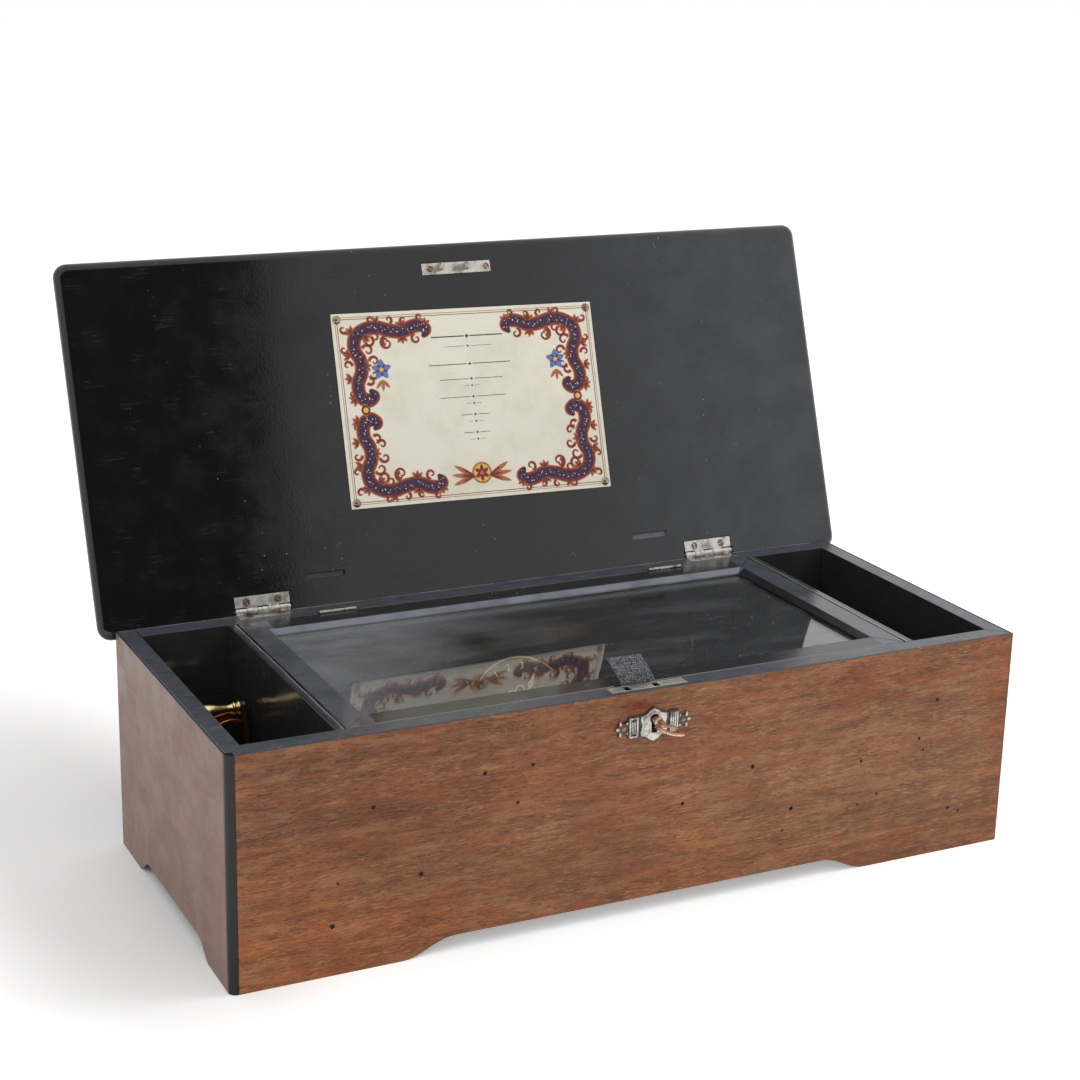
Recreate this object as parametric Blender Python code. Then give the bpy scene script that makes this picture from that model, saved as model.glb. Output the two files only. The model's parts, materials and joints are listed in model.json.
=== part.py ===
"""Cylinder music box: a walnut and black lacquer case with a lifting lid, an inner
glass lid over the movement, and a winding lever in the left compartment.

Sizes are millimetres in the case's own frame: X right along the front, Y to the back,
Z up from the table, origin at the middle of the case's base. The lid and the key are
modelled shut and upright, and their parent empties turn them to where they rest.
"""
import math

import bmesh
import bpy
from mathutils import Vector

MM = 0.001
GAP = 0.3

# Case
CASE_WIDTH = 540.0
CASE_DEPTH = 225.0
CASE_HEIGHT = 148.0
FRONT_THICK = 13.5
BACK_THICK = 15.0
SIDE_THICK = 13.0
VENEER = 1.0
STRING_RADIUS = 5.0
FOOT_LONG = 106.0
FOOT_SHORT = 40.0
OGEE_LONG = 34.0
OGEE_SHORT = 20.0
ARCH_HEIGHT = 10.4
FLOOR_LOW = 11.0
FLOOR_TOP = 19.0
PARTITION_THICK = 5.8
COMPARTMENT = 70.2

# Lid
LID_OVERHANG = 10.0
LID_THICK = 12.0
LID_EDGE = 6.0
LID_CORNER = 9.0
LID_BORDER = 22.0
LID_OPEN = math.radians(110.0)
LID_INLAY_DEPTH = 1.3

# Butt hinges of the lid
HINGE_BEHIND = 2.5
HINGE_ABOVE = 1.5
HINGE_X = 170.0
HINGE_LENGTH = 38.0
HINGE_REACH = 10.0
HINGE_LEAF = 1.5
KNUCKLE = 2.4
KNUCKLES = 5
PIN = 1.0
BORE_ROOM = 0.45

# Glass lid
GLASS_FLAT = 16.0
GLASS_SLOPE = 3.5
GLASS_RAIL = 10.0
GLASS_DEPTH = 4.6
PANE_THICK = 3.0
REBATE_WIDTH = 15.5
SMALL_HINGE_X = 124.0
SMALL_HINGE_LENGTH = 26.0
SMALL_KNUCKLE = 1.5
SMALL_LEAF = 1.2
SMALL_REACH = 8.0
SMALL_PIN = 0.6

# Lock and key
LOCK_Y = -104.2
LOCK_HALF = 26.0
LOCK_LOW = 110.0
LOCK_PLATE_WIDTH = 8.0
LOCK_PLATE_THICK = 1.4
HOOKS_X = (-14.0, 5.7)
HOOK_THICK = 2.5
HOOK_WIDTH = 4.6
KEY_Z = 130.0
KEY_REACH = 31.5
KEY_STEM = 2.1
BOW_RADIUS = 7.7
BOW_WIRE = 1.8
KEY_TURNED = math.radians(30.0)

# Escutcheon
PLATE_Z = 126.0
PLATE_THICK = 2.0
PLATE_SCREW_X = 20.8

# Tune card on the lid
CARD_WIDTH = 197.0
CARD_HEIGHT = 133.0
CARD_THICK = 0.6
CARD_Y = -9.0
CARD_TURN = math.radians(1.0)
TACK_INSET = 4.0
TACK_RADIUS = 3.0

# Movement
BED_LOW = 25.5
BED_TOP = 31.0
BARREL_Y = 43.3
BARREL_Z = 56.0
BARREL_RADIUS = 21.0
SHAFT = 3.5
WHEEL_TEETH = 30
PINION_TEETH = 10
MODULE = 1.5
WORM_WHEEL_TEETH = 24
WORM_MODULE = 1.2
MESH_ANGLE = math.radians(8.0)
CYLINDER_RADIUS = 24.0
CYLINDER_LEFT = -92.0
CYLINDER_RIGHT = 96.0
COMB_GAP = 0.5
COMB_TEETH = 72
WHEEL_X = (-112.2, -106.7)
TAIL_WHEEL_X = (100.7, 105.2)
WORM_WHEEL_X = (128.0, 130.5)

# Tune dial
DIAL_X = -24.0
DIAL_Y = 21.7
DIAL_Z = 87.0
DIAL_LEAN = math.radians(20.0)
DIAL_RADIUS = 36.5
DIAL_HALF = math.radians(48.0)
DIAL_BASE = 8.0
DIAL_THICK = 1.6
POINTER_REST = math.radians(28.5)

# Sizes worked out from those above
HALF_W = CASE_WIDTH / 2
HALF_D = CASE_DEPTH / 2
FRONT_INNER = -HALF_D + FRONT_THICK
BACK_INNER = HALF_D - BACK_THICK
LEFT_WALL = HALF_W - SIDE_THICK
PARTITION_OUT = HALF_W - COMPARTMENT
PARTITION_IN = PARTITION_OUT - PARTITION_THICK
HINGE_Y = HALF_D + HINGE_BEHIND
HINGE_Z = CASE_HEIGHT + HINGE_ABOVE
LID_LOW = CASE_HEIGHT + GAP
LID_X = HALF_W + LID_OVERHANG
LID_Y = HALF_D + LID_OVERHANG
FRAME_X = PARTITION_IN - GAP
FRAME_FRONT = FRONT_INNER + GAP
FRAME_BACK = BACK_INNER - 2 * GAP
SMALL_HINGE_Y = BACK_INNER - GAP
SMALL_HINGE_Z = CASE_HEIGHT + 0.6
GLASS_TOP = CASE_HEIGHT - GLASS_DEPTH - GAP
PITCH_SUM = MODULE * (WHEEL_TEETH + PINION_TEETH) / 2
CYL_Y = BARREL_Y - PITCH_SUM * math.cos(MESH_ANGLE)
CYL_Z = BARREL_Z + PITCH_SUM * math.sin(MESH_ANGLE)
WORM_PITCH = math.pi * WORM_MODULE
WORM_RADIUS = 4.6
WORM_CORE = 2.6
WORM_Y = BARREL_Y + WORM_MODULE * WORM_WHEEL_TEETH / 2 + (WORM_RADIUS + WORM_CORE) / 2

# The whole box is set back so that the open lid and the key reach equally far
LEAN = LID_OPEN - math.pi / 2
REACH_BACK = (HINGE_Y + (HINGE_Y + LID_Y - LID_EDGE) * math.sin(LEAN)
              + (LID_LOW + LID_EDGE - HINGE_Z) * math.cos(LEAN) + LID_EDGE)
REACH_FRONT = HALF_D + KEY_REACH
CASE_Y = (REACH_FRONT - REACH_BACK) / 2

for old in list(bpy.data.objects):
    bpy.data.objects.remove(old, do_unlink=True)


def material(name, color, roughness, metallic=0.0):
    """A plain Principled material."""
    made = bpy.data.materials.new(name)
    made.use_nodes = True
    shader = made.node_tree.nodes["Principled BSDF"]
    shader.inputs["Base Color"].default_value = (*color, 1.0)
    shader.inputs["Roughness"].default_value = roughness
    shader.inputs["Metallic"].default_value = metallic
    return made


WALNUT = ((0.26, 0.11, 0.05), 0.35, 0.0)
LACQUER = ((0.012, 0.012, 0.013), 0.15, 0.0)
PINE = ((0.42, 0.28, 0.15), 0.7, 0.0)
NICKEL = ((0.62, 0.60, 0.56), 0.3, 1.0)
BRASS = ((0.72, 0.50, 0.20), 0.3, 1.0)
COPPER = ((0.62, 0.22, 0.10), 0.35, 1.0)
STEEL = ((0.50, 0.50, 0.52), 0.25, 1.0)
IRON = ((0.10, 0.09, 0.08), 0.5, 0.6)
OLIVE = ((0.05, 0.05, 0.03), 0.3, 0.5)
CARD = ((0.72, 0.68, 0.55), 0.6, 0.0)
LEATHER = ((0.10, 0.10, 0.11), 0.6, 0.0)
GLASS = ((0.80, 0.86, 0.84), 0.05, 0.0)

bodies = {}


def body(name, pivot, parent=None, turn=(0.0, 0.0, 0.0)):
    """An empty on a body's joint axis; pivot is in millimetres in the case's frame."""
    empty = bpy.data.objects.new("axis_" + name, None)
    bpy.context.collection.objects.link(empty)
    pivot = Vector(pivot)
    origin = Vector((0.0, 0.0, 0.0))
    if parent:
        empty.parent = bodies[parent][0]
        origin = bodies[parent][1]
    empty.location = (pivot - origin) * MM
    empty.rotation_euler = turn
    bodies[name] = (empty, pivot)


def box(low, high):
    """The eight corners and six sides of a box."""
    corners = [(x, y, z) for x in (low[0], high[0]) for y in (low[1], high[1]) for z in (low[2], high[2])]
    sides = [(0, 1, 3, 2), (4, 6, 7, 5), (0, 4, 5, 1), (2, 3, 7, 6), (0, 2, 6, 4), (1, 5, 7, 3)]
    return corners, sides


def placed(axis, along, a, b):
    """A point of a flat outline put square to the given axis."""
    return {"x": (along, a, b), "y": (a, along, b), "z": (a, b, along)}[axis]


def prism(outline, axis, low, high):
    """An outline carried straight along an axis, with flat ends."""
    count = len(outline)
    verts = [placed(axis, low, a, b) for a, b in outline]
    verts += [placed(axis, high, a, b) for a, b in outline]
    faces = [tuple(range(count)), tuple(range(count, 2 * count))]
    faces += [(i, (i + 1) % count, count + (i + 1) % count, count + i) for i in range(count)]
    return verts, faces


def turned(profile, axis, centre, sides, ring=False):
    """A profile of (radius, height along the axis) turned about an axis; ring joins its two ends."""
    verts = []
    rings = []
    for radius, height in profile:
        rings.append(range(len(verts), len(verts) + (sides if radius > 0 else 1)))
        for i in range(len(rings[-1])):
            angle = 2 * math.pi * i / sides
            a = centre[0] + radius * math.cos(angle)
            b = centre[1] + radius * math.sin(angle)
            verts.append(placed(axis, height, a, b))
    faces = []
    pairs = list(zip(rings, rings[1:]))
    if ring:
        pairs.append((rings[-1], rings[0]))
    for lower, upper in pairs:
        for i in range(sides):
            j = (i + 1) % sides
            corners = [lower[i % len(lower)], lower[j % len(lower)], upper[j % len(upper)], upper[i % len(upper)]]
            faces.append(tuple(dict.fromkeys(corners)))
    return verts, faces


def rod(axis, centre, radius, low, high, sides=16):
    """A plain round bar."""
    return turned([(0.0, low), (radius, low), (radius, high), (0.0, high)], axis, centre, sides)


def tube(axis, centre, inner, outer, low, high, sides=24):
    """A round bar with a bore."""
    section = [(inner, low), (outer, low), (outer, high), (inner, high)]
    return turned(section, axis, centre, sides, ring=True)


def joined(*shapes):
    """Several separate shapes in one list of points and faces."""
    verts = []
    faces = []
    for shape_verts, shape_faces in shapes:
        faces += [tuple(len(verts) + i for i in face) for face in shape_faces]
        verts += shape_verts
    return verts, faces


def shifted(shape, x=0.0, y=0.0, z=0.0):
    """A shape moved in the case's frame."""
    return [(a + x, b + y, c + z) for a, b, c in shape[0]], shape[1]


def rotated(shape, axis, angle, centre):
    """A shape turned about a line square to a plane, by the right-hand rule."""
    first, second = {"x": (1, 2), "y": (2, 0), "z": (0, 1)}[axis]
    cosine = math.cos(angle)
    sine = math.sin(angle)
    verts = []
    for point in shape[0]:
        new = list(point)
        a = point[first] - centre[first]
        b = point[second] - centre[second]
        new[first] = centre[first] + a * cosine - b * sine
        new[second] = centre[second] + a * sine + b * cosine
        verts.append(tuple(new))
    return verts, shape[1]


def mesh_of(name, shape, pivot):
    """A Blender mesh with its faces turned out and its origin on the pivot."""
    made = bpy.data.meshes.new(name)
    work = bmesh.new()
    verts = [work.verts.new((Vector(v) - pivot) * MM) for v in shape[0]]
    for face in shape[1]:
        work.faces.new([verts[i] for i in face])
    bmesh.ops.recalc_face_normals(work, faces=work.faces)
    work.to_mesh(made)
    work.free()
    return made


def piece(name, shape, finish, body_name="case", smooth=False):
    """One sub-part: a named object on its body's empty."""
    empty, pivot = bodies[body_name]
    made = bpy.data.objects.new(name, mesh_of(name, shape, pivot))
    made.data.materials.append(material(name, *finish))
    if smooth:
        made.data.shade_smooth()
        made.data.set_sharp_from_angle(angle=math.radians(35.0))
    made.parent = empty
    bpy.context.collection.objects.link(made)
    return made


def combine(target, shape, operation):
    """A Boolean with a hidden helper shape."""
    pivot = bodies[target.parent.name.removeprefix("axis_")][1]
    helper = bpy.data.objects.new("helper_" + target.name, mesh_of("helper_" + target.name, shape, pivot))
    helper.parent = target.parent
    helper.hide_render = True
    helper.display_type = "WIRE"
    bpy.context.collection.objects.link(helper)
    change = target.modifiers.new(operation.lower(), "BOOLEAN")
    change.operation = operation
    change.solver = "EXACT"
    change.object = helper


def cut(target, *shapes):
    """Takes shapes away from a piece, one after the other."""
    for shape in shapes:
        combine(target, shape, "DIFFERENCE")


def arc(centre, radius, start, end, steps):
    """Points on an arc, from one angle in degrees to another, both ends included."""
    angles = [math.radians(start + (end - start) * i / steps) for i in range(steps + 1)]
    return [(centre[0] + radius * math.cos(a), centre[1] + radius * math.sin(a)) for a in angles]


def mirrored(half):
    """An outline made of points at positive X and their mirror images."""
    return half + [(-x, z) for x, z in reversed(half) if abs(x) > 1e-6]


def arch(half_length, foot, ogee, steps=10):
    """The skirt's cut-out: straight along the top, with an S-shaped curve down to each foot."""
    end = half_length - foot
    half = [(end + 2.0, -5.0), (end + 2.0, 0.0)]
    for i in range(steps + 1):
        share = i / steps
        half.append((end - ogee * share, ARCH_HEIGHT * (0.5 - 0.5 * math.cos(math.pi * share))))
    return mirrored(half)


def wheel_outline(teeth, module, centre, turn, tip=0.85, root=1.15):
    """A gear's outline: each tooth has four points, and is slim enough to run with some play."""
    pitch = module * teeth / 2
    points = []
    for tooth in range(teeth):
        for share, radius in ((-0.26, -root), (-0.12, tip), (0.12, tip), (0.26, -root)):
            angle = turn + 2 * math.pi * (tooth + share) / teeth
            r = pitch + module * radius
            points.append((centre[0] + r * math.cos(angle), centre[1] + r * math.sin(angle)))
    return points


def case_boards():
    """Four boards with the skirt's arches, the walnut on three of them, and a black string down one corner."""
    inner = HALF_W - SIDE_THICK
    play = GAP / 2
    skin = VENEER + GAP
    notch_x = HALF_W - STRING_RADIUS - GAP
    notch_y = -HALF_D + STRING_RADIUS + GAP
    front_plan = [(-notch_x, -HALF_D + skin), (HALF_W - skin - play, -HALF_D + skin), (inner - play, FRONT_INNER),
                  (-inner + play, FRONT_INNER), (-notch_x, notch_y - play)]
    left_plan = [(-HALF_W + skin, notch_y), (-notch_x - play, notch_y), (-inner - play, FRONT_INNER + play),
                 (-inner - play, HALF_D), (-HALF_W + skin, HALF_D)]
    right_plan = [(HALF_W - skin, -HALF_D + skin + play), (HALF_W - skin, HALF_D), (inner + play, HALF_D),
                  (inner + play, FRONT_INNER + play)]
    arch_long = prism(arch(HALF_W, FOOT_LONG, OGEE_LONG), "y", -HALF_D - 5, HALF_D + 5)
    arch_short = prism(arch(HALF_D, FOOT_SHORT, OGEE_SHORT), "x", -HALF_W - 5, HALF_W + 5)
    front = piece("case_front", prism(front_plan, "z", 0, CASE_HEIGHT), LACQUER)
    back = piece("case_back", box((-inner + play, BACK_INNER, 0), (inner - play, HALF_D, CASE_HEIGHT)), LACQUER)
    left = piece("case_left_end", prism(left_plan, "z", 0, CASE_HEIGHT), LACQUER)
    right = piece("case_right_end", prism(right_plan, "z", 0, CASE_HEIGHT), LACQUER)
    walnut = piece("front_veneer", box((-notch_x, -HALF_D, 0), (HALF_W - VENEER - play, -HALF_D + VENEER, CASE_HEIGHT)),
                   WALNUT)
    left_end = piece("left_end_veneer", box((-HALF_W, notch_y, 0), (-HALF_W + VENEER, HALF_D, CASE_HEIGHT)), WALNUT)
    right_end = piece("right_end_veneer", box((HALF_W - VENEER, -HALF_D, 0), (HALF_W, HALF_D, CASE_HEIGHT)), WALNUT)
    for board in (front, back, walnut):
        cut(board, arch_long)
    for board in (left, right, left_end, right_end):
        cut(board, arch_short)
    centre = (-HALF_W + STRING_RADIUS, -HALF_D + STRING_RADIUS)
    quarter = [centre] + arc(centre, STRING_RADIUS, 180, 270, 6)
    piece("corner_string", prism(quarter, "z", 0, CASE_HEIGHT), LACQUER, smooth=True)
    low = (-inner + GAP, FRONT_INNER + GAP, FLOOR_LOW)
    piece("case_floor", box(low, (inner - GAP, BACK_INNER - GAP, FLOOR_TOP)), PINE)
    return front, back, walnut


def partitions():
    """The two thin walls beside the movement, with holes for the winding and control arbors."""
    low = (PARTITION_IN, FRONT_INNER + GAP, FLOOR_TOP + GAP)
    high = (PARTITION_OUT, BACK_INNER - GAP, CASE_HEIGHT)
    right = piece("right_partition", box(low, high), LACQUER)
    left = piece("left_partition", shifted(box(low, high), x=-PARTITION_IN - PARTITION_OUT), LACQUER)
    through = (PARTITION_IN - 2, PARTITION_OUT + 2)
    cut(left, rod("x", (BARREL_Y, BARREL_Z), SHAFT + 0.8, -through[1], -through[0], 12))
    for centre in (START_PIVOT, CHANGE_PIVOT):
        cut(right, rod("x", centre, CONTROL_ROD + 0.8, *through, 12))


def keyhole(y_low, y_high, room=0.0):
    """A round hole with a slot below it."""
    radius = KEY_STEM + 0.8 + room
    slot = 1.7 + room
    start = math.degrees(math.asin(slot / radius))
    points = arc((0.0, KEY_Z), radius, -90 + start, 270 - start, 10)
    points += [(-slot, KEY_Z - 8.6 - room), (slot, KEY_Z - 8.6 - room)]
    return prism(points, "y", y_low, y_high)


def lock(front, walnut):
    """A box lock let into the front board: its tray, its bolt and its plate with two slots."""
    half = LOCK_PLATE_WIDTH / 2
    plate_low = (-LOCK_HALF, LOCK_Y - half, CASE_HEIGHT - LOCK_PLATE_THICK)
    plate = piece("lock_plate", box(plate_low, (LOCK_HALF, LOCK_Y + half, CASE_HEIGHT)), NICKEL)
    for x in HOOKS_X:
        low = (x - HOOK_THICK / 2 - 0.8, LOCK_Y - HOOK_WIDTH / 2 - 1.0, CASE_HEIGHT - 5)
        cut(plate, box(low, (x + HOOK_THICK / 2 + 0.8, LOCK_Y + HOOK_WIDTH / 2 + 1.0, CASE_HEIGHT + 5)))
    tray_top = CASE_HEIGHT - LOCK_PLATE_THICK - GAP
    tray_front = LOCK_Y - 2.8
    tray = piece("lock_case", box((-LOCK_HALF, tray_front, LOCK_LOW), (LOCK_HALF, FRONT_INNER, tray_top)), STEEL)
    wall = 1.3
    cut(tray, box((-LOCK_HALF + wall, tray_front - 5, LOCK_LOW + wall),
                  (LOCK_HALF - wall, FRONT_INNER - wall, CASE_HEIGHT + 5)))
    cut(front,
        box((-LOCK_HALF - GAP, LOCK_Y - half - GAP, CASE_HEIGHT - LOCK_PLATE_THICK - GAP),
            (LOCK_HALF + GAP, LOCK_Y + half + GAP, CASE_HEIGHT + 5)),
        box((-LOCK_HALF - GAP, tray_front - GAP, LOCK_LOW - GAP), (LOCK_HALF + GAP, FRONT_INNER + 5, tray_top + 1)),
        keyhole(-HALF_D - 5, LOCK_Y))
    cut(walnut, keyhole(-HALF_D - 5, -HALF_D + 5))


def bolt():
    """The sliding bolt: a plate behind the key's bit, with a tongue for each of the keeper's hooks."""
    low = 120.0
    top = 137.5
    tongue = (139.5, 141.5)
    points = [(-16.0, low), (24.0, low), (24.0, top)]
    for x in reversed(HOOKS_X):
        tip = x + HOOK_THICK / 2 + 1.0
        points += [(tip + 7.6, top), (tip + 7.6, tongue[1]), (tip, tongue[1]), (tip, tongue[0]),
                   (tip + 4.8, tongue[0]), (tip + 4.8, top)]
    points.append((-16.0, top))
    made = piece("lock_bolt", prism(points, "y", LOCK_Y - 0.8, LOCK_Y + 0.8), BRASS, "bolt")
    cut(made, box((-4.0, LOCK_Y - 5, KEY_Z - 3), (9.0, LOCK_Y + 5, KEY_Z + 3)))


def key():
    """A key modelled with its bow flat: a stem with a collar, a bit inside the lock, and a ring bow."""
    stem_in = LOCK_Y + 3.3
    bow_y = -HALF_D - KEY_REACH + BOW_RADIUS + BOW_WIRE
    collar = -HALF_D - PLATE_THICK - 6.5
    stem_out = bow_y + BOW_RADIUS
    profile = [(0.0, stem_in), (KEY_STEM, stem_in), (KEY_STEM, collar + 2.2), (KEY_STEM + 0.9, collar + 1.4),
               (KEY_STEM + 0.9, collar), (KEY_STEM, collar - 0.8), (KEY_STEM * 0.9, stem_out), (0.0, stem_out)]
    stem = turned(profile, "y", (0.0, KEY_Z), 12)
    verts = []
    turns = 20
    sides = 8
    for i in range(turns):
        around = 2 * math.pi * i / turns
        for j in range(sides):
            across = 2 * math.pi * j / sides
            reach = BOW_RADIUS + BOW_WIRE * math.cos(across)
            verts.append((reach * math.sin(around), bow_y + reach * math.cos(around),
                          KEY_Z + BOW_WIRE * math.sin(across)))
    faces = []
    for i in range(turns):
        for j in range(sides):
            k = (j + 1) % sides
            m = (i + 1) % turns
            faces.append((i * sides + j, i * sides + k, m * sides + k, m * sides + j))
    made = piece("key", stem, COPPER, "key", smooth=True)
    combine(made, (verts, faces), "UNION")
    combine(made, box((0.5, LOCK_Y + 1.3, KEY_Z - 0.9), (7.0, LOCK_Y + 3.1, KEY_Z + 0.9)), "UNION")


def escutcheon():
    """The cast plate round the keyhole: a shield between two blocks, with a leaf at each end."""
    quarter = [(0.0, 11.2), (3.0, 10.0), (5.2, 8.0), (9.2, 7.0), (10.2, 6.2), (10.6, 7.3), (17.4, 7.3), (17.6, 3.4),
               (18.6, 2.2), (19.2, 3.4), (22.0, 3.4), (22.8, 2.0), (23.6, 5.0), (24.6, 2.6), (26.6, 0.0)]
    upper = quarter
    lower = [(x, -z) for x, z in reversed(quarter[:-1])]
    right = upper + lower
    left = [(-x, z) for x, z in reversed(right[1:-1])]
    outline = [(x, PLATE_Z + z) for x, z in right + left]
    plate_back = -HALF_D - GAP
    made = piece("escutcheon", prism(outline, "y", plate_back - PLATE_THICK, plate_back), NICKEL)
    cut(made, keyhole(-HALF_D - 10, -HALF_D + 5, room=0.2))
    for x in (-PLATE_SCREW_X, PLATE_SCREW_X):
        cut(made, screw_marks("y", (x, PLATE_Z), plate_back - PLATE_THICK, -1, 1.6))


def screw_marks(axis, spot, face, out, radius):
    """The ring and the slot that a sunk screw head shows; out is the side the face looks to."""
    low, high = sorted((face - out * 0.4, face + out))
    ring = tube(axis, spot, radius, radius + 0.4, low, high, 12)
    a, b = spot
    long = radius - 0.4
    slot = [(a - long, b - 0.35), (a + long, b - 0.35), (a + long, b + 0.35), (a - long, b + 0.35)]
    return joined(ring, prism(slot, axis, low, high))


def knuckle_section(low, high, near):
    """A knuckle's round and the web that joins it to its leaf, seen along the pin."""
    below = (HINGE_Z - low) / KNUCKLE
    above = (high - HINGE_Z) / KNUCKLE
    points = [(near, low)]
    start = -90.0
    if below < 1:
        start = -180.0 + math.degrees(math.asin(below))
    else:
        points.append((HINGE_Y, low))
    end = 180.0 - math.degrees(math.asin(above))
    return points + arc((HINGE_Y, HINGE_Z), KNUCKLE, start, end, 14) + [(near, high)]


def butt_hinge(side, centre, back, lid):
    """A hinge with five knuckles, let into the back board and the lid; its pin is fast in the case's leaf."""
    near = HINGE_Y - KNUCKLE - GAP
    edge = HINGE_Y - HINGE_REACH
    start = centre - HINGE_LENGTH / 2
    end = start + HINGE_LENGTH
    step = HINGE_LENGTH / KNUCKLES
    axis = (HINGE_Y, HINGE_Z)
    leaves = (("case", 0, CASE_HEIGHT - HINGE_LEAF, CASE_HEIGHT, CASE_HEIGHT, 1),
              ("lid", 1, LID_LOW, LID_LOW + HINGE_LEAF, LID_LOW, -1))
    for owner, first, low, high, face, out in leaves:
        leaf = piece(f"{side}_hinge_{owner}_leaf", box((start, edge, low), (end, near, high)), NICKEL, owner)
        section = knuckle_section(low, high, near - 2.0)
        spans = [(start + i * step + GAP / 2, start + (i + 1) * step - GAP / 2) for i in range(first, KNUCKLES, 2)]
        combine(leaf, joined(*(prism(section, "x", *span) for span in spans)), "UNION")
        if owner == "case":
            combine(leaf, rod("x", axis, PIN, start - 0.4, end + 0.4, 10), "UNION")
        else:
            cut(leaf, rod("x", axis, PIN + BORE_ROOM, start - 1, end + 1, 12))
        spots = [(centre + share * HINGE_LENGTH, edge + 4.0) for share in (-0.29, 0.29)]
        cut(leaf, joined(*(screw_marks("z", spot, face, out, 2.2) for spot in spots)))
    leaf_room = HINGE_LEAF + GAP
    cut(back, box((start - GAP, edge - GAP, CASE_HEIGHT - leaf_room), (end + GAP, HALF_D + 5, CASE_HEIGHT + 5)))
    cut(lid, box((start - GAP, edge - GAP, LID_LOW - 5), (end + GAP, near + 1, LID_LOW + leaf_room)))
    room = KNUCKLE + 0.5
    cut(lid, box((start - 1, HINGE_Y - room, LID_LOW - 5), (end + 1, HINGE_Y + room + 1.2, HINGE_Z + room)))


def glass_hinge(side, centre, back, rail, lid):
    """A slim hinge in the seam behind the glass lid; its leaves stand on edge, and the lid clears its knuckles."""
    axis = (SMALL_HINGE_Y, SMALL_HINGE_Z)
    step = SMALL_HINGE_LENGTH / 3
    start = centre - SMALL_HINGE_LENGTH / 2
    end = start + SMALL_HINGE_LENGTH
    low = SMALL_HINGE_Z - SMALL_REACH
    near = SMALL_HINGE_Z - SMALL_KNUCKLE - GAP
    for owner, way, own, board in (("case", 1, (0, 2), back), ("frame", -1, (1,), rail)):
        inner = SMALL_HINGE_Y + way * 0.2
        outer = inner + way * SMALL_LEAF
        flat = box((start, min(inner, outer), low), (end, max(inner, outer), near))
        body_name = "case" if owner == "case" else "glass_lid"
        leaf = piece(f"{side}_glass_hinge_{owner}_leaf", flat, BRASS, body_name)
        spans = [(start + i * step + GAP / 2, start + (i + 1) * step - GAP / 2) for i in own]
        web = [(inner, near - 1.0), (outer, near - 1.0), (outer, SMALL_HINGE_Z - 0.5), (inner, SMALL_HINGE_Z)]
        combine(leaf, joined(*(prism(web, "x", *span) for span in spans)), "UNION")
        combine(leaf, joined(*(rod("x", axis, SMALL_KNUCKLE, *span, 12) for span in spans)), "UNION")
        if owner == "case":
            combine(leaf, rod("x", axis, SMALL_PIN, start - 0.2, end + 0.2, 8), "UNION")
        else:
            cut(leaf, rod("x", axis, SMALL_PIN + 0.35, start - 1, end + 1, 10))
        wall = outer + way * GAP
        round_wall = SMALL_HINGE_Y + way * (SMALL_KNUCKLE + GAP)
        open_side = SMALL_HINGE_Y - way * 5
        pocket = [(open_side, low - GAP), (wall, low - GAP), (wall, near - GAP), (round_wall, near - GAP),
                  (round_wall, CASE_HEIGHT + 5), (open_side, CASE_HEIGHT + 5)]
        cut(board, prism(pocket, "x", start - GAP, end + GAP))
    room = SMALL_KNUCKLE + 0.5
    cut(lid, box((start - 1, SMALL_HINGE_Y - room, LID_LOW - 5), (end + 1, SMALL_HINGE_Y + room, SMALL_HINGE_Z + room)))


def lid_ring(inset, z):
    """The lid's outline seen from above, drawn in by an inset, at one height."""
    x = LID_X - inset
    y = LID_Y - inset
    radius = LID_CORNER - inset
    points = []
    for sx, sy, start in ((1, 1, 0), (-1, 1, 90), (-1, -1, 180), (1, -1, 270)):
        points += arc((sx * (x - radius), sy * (y - radius)), radius, start, start + 90, 7)
    return [(a, b, z) for a, b in points]


def lid_panel():
    """A slab with half-round edges and rounded corners, with a walnut field let into its top."""
    verts = []
    steps = 12
    for i in range(steps + 1):
        angle = math.radians(-90 + 180 * i / steps)
        verts += lid_ring(LID_EDGE * (1 - math.cos(angle)), LID_LOW + LID_THICK / 2 + LID_EDGE * math.sin(angle))
    ring = len(verts) // (steps + 1)
    faces = [tuple(range(ring)), tuple(range(len(verts) - ring, len(verts)))]
    for level in range(steps):
        for i in range(ring):
            j = (i + 1) % ring
            base = level * ring
            faces.append((base + i, base + j, base + ring + j, base + ring + i))
    panel = piece("lid_panel", (verts, faces), LACQUER, "lid", smooth=True)
    x = LID_X - LID_BORDER
    y = LID_Y - LID_BORDER
    top = LID_LOW + LID_THICK
    cut(panel, box((-x, -y, top - LID_INLAY_DEPTH), (x, y, top + 5)))
    x -= GAP
    y -= GAP
    piece("lid_veneer", box((-x, -y, top - LID_INLAY_DEPTH + GAP), (x, y, top)), WALNUT, "lid")
    return panel


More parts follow.
